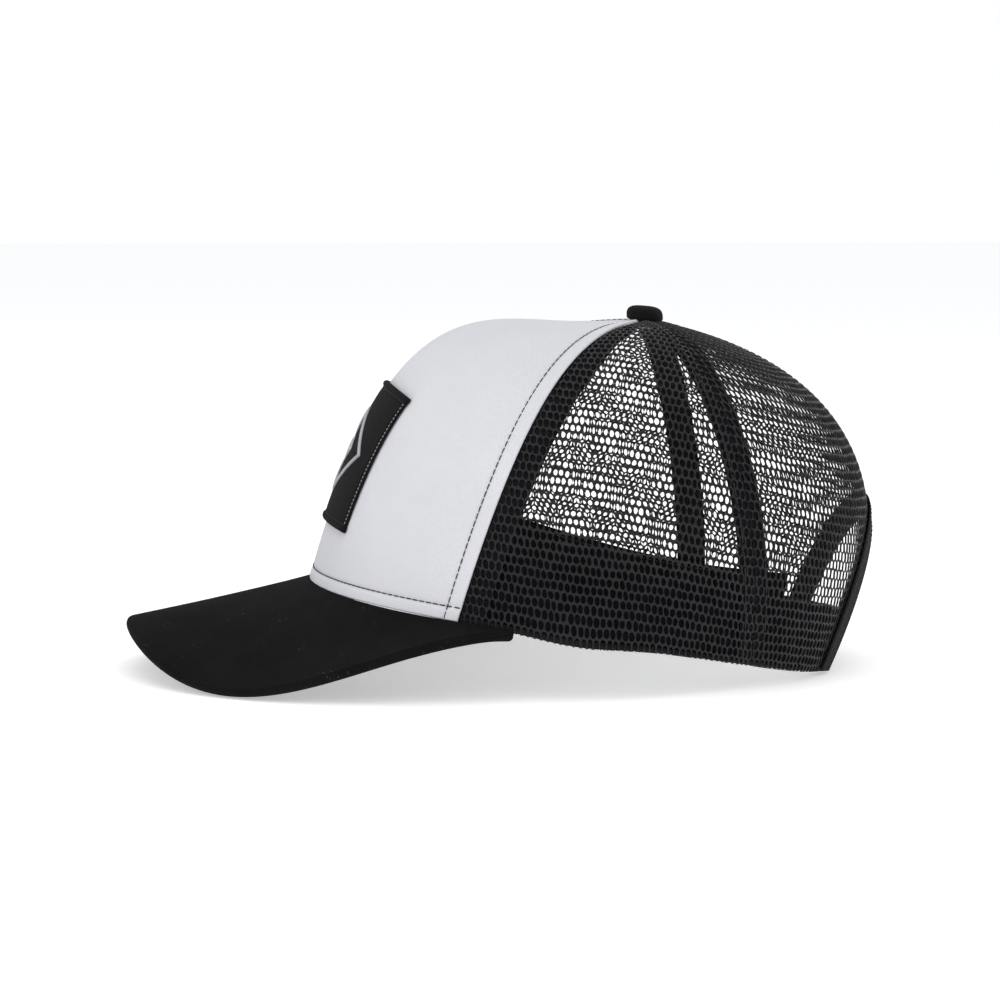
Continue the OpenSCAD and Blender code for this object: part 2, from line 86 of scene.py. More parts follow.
CROWN_H = 129.0
TOP_R, TOP_Z = (48, 68, 46.5), (120, 134, 122)
WALL_R, WALL_Z = (89, 83, 113), (165, 73, 90)
EDGE_R, EDGE_Z = (125.5, 82, 72), (33, 15, -1.7)
FRONT_SEAM = (60, 45.5)
SIDE_SEAM = (102, 113.5)
PANEL_T, SEAM_GAP = 1.2, 0.3
POLE_T, TOP_T = 0.02, 0.11  # where the panels and the tapes begin
NARROW_SPAN = 24  # half width of the front below which its seam insets shrink
TOPSTITCH, BOTTOM_STITCH, STITCH_PITCH = 5.0, 4.8, 2.75
TAPE_W, TAPE_DEPTH, TAPE_T = 12.0, 1.4, 0.7
STIFFENER_INSET = 6.8
FRONT_TAPE_SHIFT = 2.8
TAPE_SHIFT_SPAN = 0.25
BAND_H, BAND_DEPTH, BAND_T, BAND_END = 26.0, 2.5, 1.5, 34.0
ARCH_PHI, ARCH_H, BINDING_W, BINDING_T = 27.0, 57.0, 9.0, 0.7
EDGE_DEG = 180 / (np.pi * 72)
BRIM_PHI, BRIM_TIP_R, BRIM_TIP_Z = 58.0, 193.5, 17.0
BRIM_FLARE, BRIM_DIP, BRIM_TUCK = 11.0, 18.92, 0.8
BRIM_HALF = 1.9
STRAP_Z, STRAP_H, STRAP_T = 1.6, 17.0, 1.2
STRAP_ROOT, TAB_END, STRAP_LEAN = 20.0, 33.0, 22.0
OUTER_STRAP, INNER_STRAP = 2.7, 4.2
PEG_COUNT, PEG_PITCH, PEG_R, PEG_H, HOLE_R = 6, 5.32, 1.8, 1.7, 2.0
PATCH_W, PATCH_H, PATCH_RISE, PATCH_T = 62.0, 56.0, 23.0, 1.3
DIAMOND_W, DIAMOND_H, DIAMOND_LINE, DIAMOND_DOT = 21.0, 17.0, 2.4, 5.0

# ---- Crown surface ----------------------------------------------------------------------------


def mix(a, b, w):
    return a + (b - a) * w


def around(three, phi):
    front, side, back = three
    c, c2 = np.cos(np.radians(phi)), np.cos(np.radians(2 * phi))
    return (front + back + 2 * side) / 4 + (front - back) / 2 * c + (front + back - 2 * side) / 4 * c2


def profile(a, b, c, d, t):
    return (1 - t) ** 3 * a + 3 * (1 - t) ** 2 * t * b + 3 * (1 - t) * t * t * c + t ** 3 * d


def crown_r(phi, t):
    return profile(0, around(TOP_R, phi), around(WALL_R, phi), around(EDGE_R, phi), t)


def crown_z(phi, t):
    return profile(CROWN_H, around(TOP_Z, phi), around(WALL_Z, phi), around(EDGE_Z, phi), t)


def crown(phi, t):
    phi, t = np.broadcast_arrays(np.asarray(phi, float), np.asarray(t, float))
    r, a = crown_r(phi, t), np.radians(phi)
    return np.stack([r * np.sin(a), AXIS_Y - r * np.cos(a), crown_z(phi, t)], -1)


def unit(v):
    return v / np.maximum(np.linalg.norm(v, axis=-1, keepdims=True), 1e-12)


def crown_normal(phi, t):
    return unit(np.cross(crown(phi, t + 0.002) - crown(phi, t - 0.002),
                         crown(phi + 0.5, t) - crown(phi - 0.5, t)))


def under(phi, t, depth):
    depth = np.asarray(depth, float)
    return crown(phi, t) - depth[..., None] * crown_normal(phi, t)


def turn(length, phi, t):
    return np.degrees(length / crown_r(phi, t))


def seam_front(t):
    return mix(*FRONT_SEAM, t * (1 + t) / 2)


def seam_side(t):
    return mix(*SIDE_SEAM, t * (3 - t) / 2)


def seam_back(t):
    return 180 + 0 * np.asarray(t, float)


def squeeze(edge, t):
    """Share of a front seam's insets that is left where the panel narrows to the button."""
    return np.minimum(1, np.radians(seam_front(t)) * crown_r(edge, t) / NARROW_SPAN)


def across(offset, phi, t):
    """Length round the crown that an angle covers."""
    return offset * np.radians(1) * crown_r(phi, t)


# Tables over phi: the arc length (arc) and the straight distance (rise) up from the bottom edge
PHI0, DPHI, DV = -60.0, 0.5, 0.5
PHIS = np.arange(PHI0, 240.01, DPHI)
TS = np.linspace(0, 1, 801)
VS = np.arange(0, 200, DV)
_points = crown(PHIS[:, None], TS[None, :])
_steps = np.linalg.norm(np.diff(_points, axis=1), axis=-1)
_arc = np.concatenate([np.cumsum(_steps[:, ::-1], axis=1)[:, ::-1], np.zeros((len(PHIS), 1))], axis=1)
_rise = np.linalg.norm(_points - _points[:, -1:], axis=-1)
T_OF_ARC = np.array([np.interp(VS, a[::-1], TS[::-1]) for a in _arc])
T_OF_RISE = np.array([np.interp(VS, a[::-1], TS[::-1]) for a in _rise])
_rows = crown(PHIS[:, None], T_OF_ARC)
_across = np.linalg.norm(np.diff(_rows, axis=0), axis=-1) + 1e-6
S_OF_PHI = np.concatenate([np.zeros((1, len(VS))), np.cumsum(_across, axis=0)], axis=0)


def look_up(table, x, y):
    """Bilinear value of a table whose two indices are x and y."""
    x = np.clip(x, 0, table.shape[0] - 1.001)
    y = np.clip(y, 0, table.shape[1] - 1.001)
    i, j = x.astype(int), y.astype(int)
    a, b = x - i, y - j
    return ((table[i, j] * (1 - a) + table[i + 1, j] * a) * (1 - b)
            + (table[i, j + 1] * (1 - a) + table[i + 1, j + 1] * a) * b)


def t_arc(phi, v):
    phi, v = np.broadcast_arrays(np.asarray(phi, float), np.asarray(v, float))
    return look_up(T_OF_ARC, (phi - PHI0) / DPHI, v / DV)


def t_rise(phi, v):
    phi, v = np.broadcast_arrays(np.asarray(phi, float), np.asarray(v, float))
    return look_up(T_OF_RISE, (phi - PHI0) / DPHI, v / DV)


# ---- Meshes -----------------------------------------------------------------------------------


def new_mesh(name, part, mat, flip=False):
    """Object from millimetre vertices, an array of faces of one size and cloth coordinates."""
    verts, quads, cloth = part
    verts, quads = np.asarray(verts, float), np.asarray(quads, int)
    used = np.unique(quads)
    remap = np.full(len(verts), -1)
    remap[used] = np.arange(len(used))
    verts, quads = verts[used], remap[quads]
    if flip:
        quads = quads[:, ::-1]
    count, size = quads.shape
    me = bpy.data.meshes.new(name)
    me.vertices.add(len(verts))
    me.vertices.foreach_set("co", (verts * MM).ravel().astype(np.float32))
    me.loops.add(count * size)
    me.loops.foreach_set("vertex_index", quads.ravel().astype(np.int32))
    me.polygons.add(count)
    me.polygons.foreach_set("loop_start", (np.arange(count) * size).astype(np.int32))
    me.update(calc_edges=True)
    me.validate()
    me.polygons.foreach_set("use_smooth", np.full(len(me.polygons), True))
    data = np.zeros((len(verts), 3), np.float32)
    data[:, :2] = np.asarray(cloth, float)[used]
    me.attributes.new("cloth", "FLOAT_VECTOR", "POINT").data.foreach_set("vector", data.ravel())
    me.materials.append(mat)
    ob = bpy.data.objects.new(name, me)
    bpy.context.scene.collection.objects.link(ob)
    return ob


def join_parts(parts):
    """One (verts, faces, cloth) from several."""
    verts, faces, cloth, base = [], [], [], 0
    for v, f, c in parts:
        verts.append(v)
        faces.append(np.asarray(f) + base)
        cloth.append(c)
        base += len(v)
    return np.concatenate(verts), np.concatenate(faces), np.concatenate(cloth)


def shell(outer, inner, cloth):
    """Closed sheet from two grids that share their boundary."""
    n, m = outer.shape[:2]
    top = np.arange(n * m).reshape(n, m)
    low = top.copy()
    low[1:-1, 1:-1] = n * m + np.arange((n - 2) * (m - 2)).reshape(n - 2, m - 2)
    verts = np.concatenate([outer.reshape(-1, 3), inner[1:-1, 1:-1].reshape(-1, 3)])
    coords = np.concatenate([cloth.reshape(-1, 2), cloth[1:-1, 1:-1].reshape(-1, 2)])

    def quads(g):
        return np.stack([g[:-1, :-1], g[:-1, 1:], g[1:, 1:], g[1:, :-1]], -1).reshape(-1, 4)
    return verts, np.concatenate([quads(top), quads(low)[:, ::-1]]), coords


def tube(index):
    """Quads between rings of vertices, the last axis of a grid of their indices."""
    nxt = np.roll(index, -1, axis=-1)
    quads = [index[..., :-1, :], nxt[..., :-1, :], nxt[..., 1:, :], index[..., 1:, :]]
    return np.stack(quads, -1).reshape(-1, 4)


def triangles(quads):
    return np.concatenate([quads[:, [0, 1, 2]], quads[:, [0, 2, 3]]])


def mirrored(part):
    verts, faces, cloth = part
    return verts * [-1, 1, 1], np.asarray(faces)[:, ::-1], cloth


def roll(d, r):
    """Depth of a rounded edge of radius r at a distance d from the edge."""
    return r - np.sqrt(np.maximum(r * r - np.maximum(r - d, 0) ** 2, 0))


def bump_at(d, centre, width):
    return np.exp(-((d - centre) / width) ** 2)


def edge_steps(total, step, fine=(0, .05, .14, .3, .55, .9)):
    """Offsets from 0 to total, close together near both ends."""
    fine = [f for f in fine if f < total / 3]
    inner = np.linspace(fine[-1], total - fine[-1], max(3, int((total - 2 * fine[-1]) / step) + 1))
    return np.concatenate([fine[:-1], inner, [total - f for f in fine[-2::-1]]])


def stitches(path, normals, pitch=STITCH_PITCH, length=2.5, width=0.4, height=0.28, sink=0.22, lift=0.1):
    """Separate stitches along a path: small tubes that rise from the cloth and dip back into it."""
    path, normals = np.asarray(path, float), np.asarray(normals, float)
    along = np.concatenate([[0], np.cumsum(np.linalg.norm(np.diff(path, axis=0), axis=1))])
    count = max(1, int(along[-1] / pitch))
    centre = (np.arange(count) + 0.5) * along[-1] / count
    local = np.array([-.5, -.42, -.22, 0, .22, .42, .5]) * length
    rise = np.array([-sink, lift * .4, lift + .04, lift + .06, lift + .04, lift * .4, -sink])
    size = np.array([.55, .9, 1, 1, 1, .9, .55])
    at = centre[:, None] + local[None, :]

    def sample(values):
        return np.stack([np.interp(at, along, values[:, k]) for k in range(3)], -1)
    p, n = sample(path), unit(sample(normals))
    tangent = unit(p[:, -1:] - p[:, :1])
    side = unit(np.cross(n, tangent))
    ring = np.radians(np.arange(6) * 60)
    offset = (np.cos(ring)[None, None, :, None] * side[:, :, None] * width / 2
              + np.sin(ring)[None, None, :, None] * n[:, :, None] * height / 2)
    verts = (p[:, :, None] + rise[None, :, None, None] * n[:, :, None]
             + offset * size[None, :, None, None])
    index = np.arange(verts[..., 0].size).reshape(verts.shape[:3])
    ends = [index[:, 0][:, [0, 3, 2, 1]], index[:, 0][:, [0, 5, 4, 3]],
            index[:, -1][:, [0, 1, 2, 3]], index[:, -1][:, [0, 3, 4, 5]]]
    cloth = np.stack(np.broadcast_arrays(at[:, :, None], np.arange(6)[None, None, :] * width / 2), -1)
    return verts.reshape(-1, 3), np.concatenate([tube(index)] + ends), cloth.reshape(-1, 2)


# ---- Materials --------------------------------------------------------------------------------


class Nodes:
    """Short-hand for building one material's node tree."""

    def __init__(self, name, base, rough, spec=0.5, metallic=0.0, sheen=0.0, sheen_rough=0.5):
        self.mat = bpy.data.materials.new(name)
        self.mat.use_nodes = True
        self.tree = self.mat.node_tree
        self.bsdf = self.tree.nodes["Principled BSDF"]
        self.set("Base Color", (*base, 1))
        self.set("Roughness", rough)
        self.set("Specular IOR Level", spec)
        self.set("Metallic", metallic)
        self.set("Sheen Weight", sheen)
        self.set("Sheen Roughness", sheen_rough)
        self.set("Sheen Tint", (1, 1, 1, 1))
        self.mat.diffuse_color = (*base, 1)

    def set(self, socket, value):
        self.bsdf.inputs[socket].default_value = value

    def node(self, kind, **inputs):
        n = self.tree.nodes.new(kind)
        for key, value in inputs.items():
            self.put(n, key, value)
        return n

    def put(self, n, key, value):
        socket = n.inputs[int(key[1:])] if key[0] == "i" and key[1:].isdigit() else n.inputs[key]
        if hasattr(value, "is_output"):
            self.tree.links.new(value, socket)
        else:
            socket.default_value = value

    def math(self, op, a, b=0.0):
        n = self.tree.nodes.new("ShaderNodeMath")
        n.operation = op
        self.put(n, "i0", a)
        self.put(n, "i1", b)
        return n.outputs[0]

    def coords(self):
        """Two outputs: the cloth's own coordinates in millimetres."""
        a = self.tree.nodes.new("ShaderNodeAttribute")
        a.attribute_name = "cloth"
        s = self.node("ShaderNodeSeparateXYZ", Vector=a.outputs["Vector"])
        return s.outputs["X"], s.outputs["Y"]

    def space(self):
        """Position on the part at rest, in metres."""
        return self.tree.nodes.new("ShaderNodeTexCoord").outputs["Object"]

    def noise(self, vector, scale, detail=3.0, rough=0.6):
        return self.node("ShaderNodeTexNoise", Vector=vector, Scale=scale, Detail=detail,
                         Roughness=rough).outputs["Fac"]

    def wave(self, value, period):
        """Sine of a coordinate, from -1 to 1."""
        return self.math("SINE", self.math("MULTIPLY", value, 2 * np.pi / period))

    def ramp(self, fac, stops):
        r = self.tree.nodes.new("ShaderNodeValToRGB")
        while len(r.color_ramp.elements) < len(stops):
            r.color_ramp.elements.new(0.5)
        for e, (at, colour) in zip(r.color_ramp.elements, stops):
            e.position, e.color = at, (*colour, 1)
        self.tree.links.new(fac, r.inputs["Fac"])
        return r.outputs["Color"]

    def rough_range(self, fac, low, high):
        self.put(self.bsdf, "Roughness", self.math("ADD", self.math("MULTIPLY", fac, high - low), low))

    def bump(self, height, strength, distance_mm, after=None):
        b = self.node("ShaderNodeBump", Strength=strength, Distance=distance_mm * MM, Height=height)
        if after is not None:
            self.tree.links.new(after, b.inputs["Normal"])
        self.tree.links.new(b.outputs["Normal"], self.bsdf.inputs["Normal"])
        return b.outputs["Normal"]


def white_cloth():
    m = Nodes("front_cloth_weave", (0.74, 0.74, 0.765), 0.9, spec=0.15, sheen=0.05, sheen_rough=0.5)
    u, v = m.coords()
    weave = m.math("MULTIPLY", m.wave(u, 0.62), m.wave(v, 0.55))
    slub = m.noise(m.node("ShaderNodeCombineXYZ", X=m.math("MULTIPLY", u, 0.25),
                          Y=m.math("MULTIPLY", v, 3.0)).outputs[0], 1.0)
    cloud = m.noise(m.space(), 35.0, 2.0)
    tone = m.math("ADD", m.math("MULTIPLY", slub, 0.5), m.math("MULTIPLY", cloud, 0.5))
    tone = m.math("ADD", tone, m.math("MULTIPLY", weave, 0.05))
    m.put(m.bsdf, "Base Color", m.ramp(tone, [(0.25, (0.715, 0.715, 0.75)), (0.75, (0.79, 0.79, 0.815))]))
    first = m.bump(weave, 0.35, 0.12)
    m.bump(m.noise(m.space(), 1400.0, 2.0), 0.25, 0.10, first)
    return m.mat


def black_weave(name, base, tone, rough=0.92, spec=0.12, sheen=0.06, period=0.5, twill=False, lint=0.0):
    m = Nodes(name, base, rough, spec=spec, sheen=sheen, sheen_rough=0.55)
    u, v = m.coords()
    if twill:
        weave = m.math("ADD", m.wave(m.math("ADD", u, v), period),
                       m.math("MULTIPLY", m.wave(m.math("SUBTRACT", u, v), period * 0.7), 0.35))
    else:
        weave = m.math("MULTIPLY", m.wave(u, period), m.wave(v, period * 0.9))
    cloud = m.noise(m.space(), 60.0, 3.0)
    fac = m.math("ADD", cloud, m.math("MULTIPLY", weave, 0.10))
    low, high = [tuple(c * k for c in base) for k in (1 - tone, 1 + tone)]
    colour = m.ramp(fac, [(0.3, low), (0.7, high)])
    if lint:
        fibres = m.node("ShaderNodeTexNoise", Vector=m.space(), Scale=420.0, Detail=2.0,
                        Distortion=3.5).outputs["Fac"]
        spots = m.noise(m.space(), 90.0, 1.0)
        specks = m.math("MULTIPLY", m.math("GREATER_THAN", fibres, 0.685),
                        m.math("GREATER_THAN", spots, 0.6))
        blend = m.tree.nodes.new("ShaderNodeMix")
        blend.data_type = "RGBA"
        m.put(blend, "i0", m.math("MULTIPLY", specks, lint))
        m.tree.links.new(colour, blend.inputs[6])
        blend.inputs[7].default_value = (0.16, 0.16, 0.165, 1)
        colour = blend.outputs[2]
    m.put(m.bsdf, "Base Color", colour)
    m.rough_range(cloud, rough - 0.06, min(1.0, rough + 0.05))
    first = m.bump(weave, 0.4, 0.14)
    m.bump(m.noise(m.space(), 1800.0, 2.0), 0.25, 0.10, first)
    return m.mat


def yarn():
    m = Nodes("mesh_yarn", (0.008, 0.008, 0.0095), 0.42, spec=0.33, sheen=0.02)
    cloud = m.noise(m.space(), 45.0, 2.0)
    strand = m.noise(m.space(), 2600.0, 2.0)
    m.put(m.bsdf, "Base Color", m.ramp(cloud, [(0.3, (0.005, 0.005, 0.0062)), (0.7, (0.009, 0.009, 0.0105))]))
    m.rough_range(strand, 0.32, 0.58)
    m.bump(strand, 0.55, 0.12)
    return m.mat


def ribbed(name, base, period=0.75):
    """Grosgrain tape: ribs across its length, with a plain selvedge feel from the fine noise."""
    m = Nodes(name, base, 0.85, spec=0.12, sheen=0.03)
    u, v = m.coords()
    rib = m.wave(v, period)
    cloud = m.noise(m.space(), 80.0, 3.0)
    fac = m.math("ADD", cloud, m.math("MULTIPLY", rib, 0.12))
    low, high = tuple(c * 0.7 for c in base), tuple(c * 1.5 for c in base)
    m.put(m.bsdf, "Base Color", m.ramp(fac, [(0.3, low), (0.75, high)]))
    first = m.bump(rib, 0.6, 0.16)
    m.bump(m.wave(u, 0.35), 0.25, 0.06, first)
    return m.mat


def thread(name, base, rough=0.5, spec=0.4):
    m = Nodes(name, base, rough, spec=spec, sheen=0.1)
    u, v = m.coords()
    twist = m.wave(m.math("ADD", u, m.math("MULTIPLY", v, 0.8)), 0.34)
    low, high = tuple(c * 0.72 for c in base), tuple(min(1, c * 1.2) for c in base)
    m.put(m.bsdf, "Base Color", m.ramp(m.math("ADD", m.math("MULTIPLY", twist, 0.3), 0.5),
                                       [(0.2, low), (0.8, high)]))
    m.rough_range(m.noise(m.space(), 900.0), rough - 0.1, rough + 0.15)
    m.bump(twist, 0.6, 0.08)
    return m.mat


def buckram():
    m = Nodes("buckram_weave", (0.66, 0.66, 0.64), 0.9, spec=0.2)
    u, v = m.coords()
    grid = m.math("ADD", m.math("POWER", m.math("ABSOLUTE", m.wave(u, 2.4)), 3.0),
                  m.math("POWER", m.math("ABSOLUTE", m.wave(v, 2.4)), 3.0))
    m.put(m.bsdf, "Base Color", m.ramp(grid, [(0.0, (0.72, 0.72, 0.70)), (1.0, (0.52, 0.52, 0.50))]))
    m.bump(grid, 0.7, -0.25)
    return m.mat


def plastic(name, base, rough, spec=0.4, grain=900.0):
    m = Nodes(name, base, rough, spec=spec)
    n = m.noise(m.space(), grain, 3.0)
    wear = m.noise(m.space(), 70.0, 3.0)
    low, high = tuple(c * 0.85 for c in base), tuple(min(1, c * 1.25) for c in base)
    m.put(m.bsdf, "Base Color", m.ramp(wear, [(0.3, low), (0.7, high)]))
    m.rough_range(wear, rough - 0.08, rough + 0.1)
    m.bump(n, 0.25, 0.05)
    return m.mat


def steel():
    m = Nodes("brushed_steel", (0.55, 0.55, 0.57), 0.35, metallic=1.0)
    stretch = m.node("ShaderNodeVectorMath", i0=m.space(), i1=(4000, 300, 300))
    stretch.operation = "MULTIPLY"
    scratches = m.noise(stretch.outputs[0], 1.0)
    m.rough_range(m.noise(m.space(), 700.0), 0.28, 0.45)
    m.bump(scratches, 0.15, 0.03)
    return m.mat


WHITE = white_cloth()
BRIM = black_weave("brim_twill", (0.0075, 0.0075, 0.0082), 0.25, rough=0.95, spec=0.05, sheen=0.015,
                   period=0.55, twill=True, lint=0.35)
BUTTON = black_weave("button_twill", (0.009, 0.009, 0.010), 0.3, rough=0.92, spec=0.08, sheen=0.03,
                     period=0.5, twill=True)
BAND = black_weave("sweatband_weave", (0.008, 0.008, 0.0095), 0.3, rough=0.95, spec=0.06, sheen=0.02,
                   period=0.7)
PATCH = black_weave("patch_satin", (0.0075, 0.0075, 0.008), 0.25, rough=0.85, spec=0.08, sheen=0.02,
                    period=0.42)
YARN = yarn()
TAPE = ribbed("seam_tape_ribs", (0.009, 0.009, 0.0105))
BLACK_THREAD = thread("black_thread_twist", (0.012, 0.012, 0.014))
GREY_THREAD = thread("grey_thread_twist", (0.52, 0.52, 0.55), 0.55, 0.4)
BUCKRAM = buckram()
STRAP = plastic("strap_moulded", (0.012, 0.012, 0.013), 0.42)
BOARD = plastic("board_moulded", (0.5, 0.51, 0.53), 0.5)
STEEL = steel()


def place(ob, slot, *nodes, body="cap"):
    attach(ob, body)
    if nodes:
        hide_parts(*nodes)
    return ob


def piece(name, part, mat, slot, *nodes, body="cap", flip=False):
    return place(new_mesh(name, part, mat, flip), slot, *nodes, body=body)


def black_rows(name, rows):
    return piece(name, join_parts(rows), BLACK_THREAD, "black_thread")


# ---- Front panel ------------------------------------------------------------------------------


def soft(phi, t):
    """Slow unevenness of the cloth, in millimetres."""
    return (0.10 * np.sin(np.radians(phi * 7.1 + 400 * t))
            + 0.08 * np.sin(np.radians(phi * 11.7 - 610 * t + 40))
            + 0.05 * np.sin(np.radians(phi * 23.0 + 1300 * t + 100)))


def front_grid():
    """phi and t of the front's vertices, closer together beside the stitch rows and the edges."""
    near = np.array([0, .05, .14, .3, .55, .9, 1.6, 2.5, 3.4, 4.1, 4.5, 4.8, 5.0, 5.2, 5.5, 5.9, 6.7])
    low = np.array([0, .05, .14, .3, .55, .9, 1.6, 2.5, 3.3, 3.9, 4.3, 4.6, 4.8, 5.0, 5.3, 5.7, 6.5])
    half, rows = 74, 150
    cols = ([(-1, d) for d in near] + [(0, q) for q in np.linspace(-1, 1, 2 * half + 1)[1:-1]]
            + [(1, d) for d in near[::-1]])
    t = np.tile(np.concatenate([np.linspace(POLE_T, 0.94, rows), np.linspace(0.95, 1, len(low))]),
                (len(cols), 1))
    phi = np.zeros_like(t)
    # the lowest rows go at fixed distances from the bottom edge, the others even in t; phi and t
    # depend on each other, and two passes settle them
    for _ in range(2):
        for c, (side, place_across) in enumerate(cols):
            edge, shrink = seam_front(t[c]), squeeze(seam_front(t[c]), t[c])
            inset = (place_across if side else near[-1]) * shrink + SEAM_GAP / 2
            phi[c] = (side or place_across) * (edge - turn(inset, edge, t[c]))
            t_low = t_arc(phi[c][-1], low[::-1])
            t[c] = np.concatenate([np.linspace(POLE_T, t_low[0] - (t_low[1] - t_low[0]), rows), t_low])
    return phi, t


def build_front():
    phi, t = front_grid()
    edge = seam_front(t)
    side = np.maximum(across(edge - np.abs(phi), phi, t) - SEAM_GAP / 2, 0)
    d_side = side / squeeze(edge, t)
    up = np.linalg.norm(crown(phi, t) - crown(phi, 1 + 0 * t), axis=-1)
    radius = PANEL_T / 2 - 0.05
    d_edge = np.minimum(side, up)
    along_low = across(phi, phi, t)
    shape = roll(d_edge, radius)
    # the stitches pull the cloth in, and the folded border between them and the edge stands up
    for apart, row, along, on in ((d_side, TOPSTITCH, up, t > 0.05), (up, BOTTOM_STITCH, along_low, 1)):
        shape += on * 0.34 * bump_at(apart, row, 0.75) * (1 + 0.25 * np.cos(2 * np.pi * along / STITCH_PITCH))
    border = (d_side < TOPSTITCH) * np.sin(np.pi * np.clip(d_side / TOPSTITCH, 0, 1))
    border = np.maximum(border, (up < BOTTOM_STITCH) * np.sin(np.pi * np.clip(up / BOTTOM_STITCH, 0, 1)))
    pucker = 0.05 * np.sin(2 * np.pi * along_low / 7.3 + 1.1 * np.sin(along_low / 9))
    pucker = pucker * (up < 6) * (1 - up / 6)
    shape -= 0.22 * border + pucker
    shape += soft(phi, t) * np.clip(up / 12, 0, 1) * 0.8
    outer = under(phi, t, shape)
    inner = under(phi, t, PANEL_T - roll(d_edge, radius))
    cloth = np.stack([along_low, up], -1)
    piece("front_cloth", shell(outer, inner, cloth), WHITE, "front_cloth", "front_panel")


def build_topstitch():
    rows = []
    depth = 0.16
    corner = seam_front(1.0) - turn(TOPSTITCH, seam_front(1.0), 1.0)
    t = np.linspace(0.045, 0.999, 160)
    edge = seam_front(t)
    for side in (-1, 1):
        phi = side * (edge - turn(TOPSTITCH * squeeze(edge, t), edge, t))
        rows.append(stitches(under(phi, t, np.full(len(t), depth)), crown_normal(phi, t)))
    # the lower row runs on past the two upright ones, almost to the seams
    phi = np.linspace(-corner - 5, corner + 5, 160)
    limit = seam_front(t_arc(phi, BOTTOM_STITCH)) - turn(0.45, 45, 1.0)
    phi = np.clip(phi, -limit, limit)
    t = t_arc(phi, BOTTOM_STITCH)
    rows.append(stitches(under(phi, t, np.full(len(phi), depth)), crown_normal(phi, t)))
    piece("front_stitch_rows", join_parts(rows), BLACK_THREAD, "black_thread", "front_topstitch")


def build_buckram():
    rows, cols = 60, 70
    x = edge_steps(2.0, 2.0 / cols, (0, .004, .012, .03))
    t = np.linspace(0.12, 0.999, rows)
    edge = seam_front(t) - turn(STIFFENER_INSET, seam_front(t), t)
    phi = (x[:, None] - 1) * edge[None, :]
    tt = np.broadcast_to(t, phi.shape)
    d = np.minimum(across(edge[None, :] - np.abs(phi), phi, tt),
                   np.linalg.norm(crown(phi, tt) - crown(phi, 1 + 0 * tt), axis=-1))
    lip = roll(np.maximum(d, 0), 0.4)
    outer = under(phi, tt, 1.45 + lip)
    inner = under(phi, tt, 2.3 - lip)
    cloth = np.stack([across(phi, phi, tt), (1 - tt) * 165], -1)
    piece("front_lining", shell(outer, inner, cloth), BUCKRAM, "buckram", "front_stiffener")


def mesh_sag(phi, v):
    """Drop of the mesh's soft lower edge beside the brim's end, in millimetres."""
    return 2.4 * np.exp(-((phi - 68) / 12) ** 2) * np.clip(1 - v / 14, 0, 1) ** 2


# ---- Knitted mesh -----------------------------------------------------------------------------

HOLE_PITCH, ROW_PITCH = 2.32, 3.36
WALL = 1.12
HOLE_W, HOLE_H = 0.97, 1.46
YARN_DEPTH = 0.62


def cell_template():
    """Twelve points each: the ridge of the yarns round a hole, and the hole's rim."""
    a, apex = HOLE_PITCH / 2, ROW_PITCH - WALL
    corner = [(a, -WALL), (a, WALL), (0, apex), (-a, WALL), (-a, -WALL), (0, -apex)]
    ridge, height = [], []
    for k in range(6):
        p, q = np.array(corner[k]), np.array(corner[(k + 1) % 6])
        ridge += [p, (p + q) / 2]
        # the upright yarns stand out, the slanting ones between them lie lower
        height += [0.31, 0.38 if k in (0, 3) else 0.2]
    angle = np.radians([-42, 0, 42, 66, 90, 114, 138, 180, 222, 246, 270, 294])
    rim = np.stack([HOLE_W * np.cos(angle), HOLE_H * np.sin(angle)], -1)
    return np.array(ridge), np.array(height), rim


def arch_distance(phi, rise):
    """Distance outside the arch's edge, along the cloth."""
    w, half = (180 - phi) / ARCH_PHI, ARCH_PHI / EDGE_DEG
    q = np.sqrt(w * w + (rise / ARCH_H) ** 2) + 1e-9
    slope = np.sqrt((w / half) ** 2 + (rise / ARCH_H / ARCH_H) ** 2) / q + 1e-9
    return (q - 1) / slope


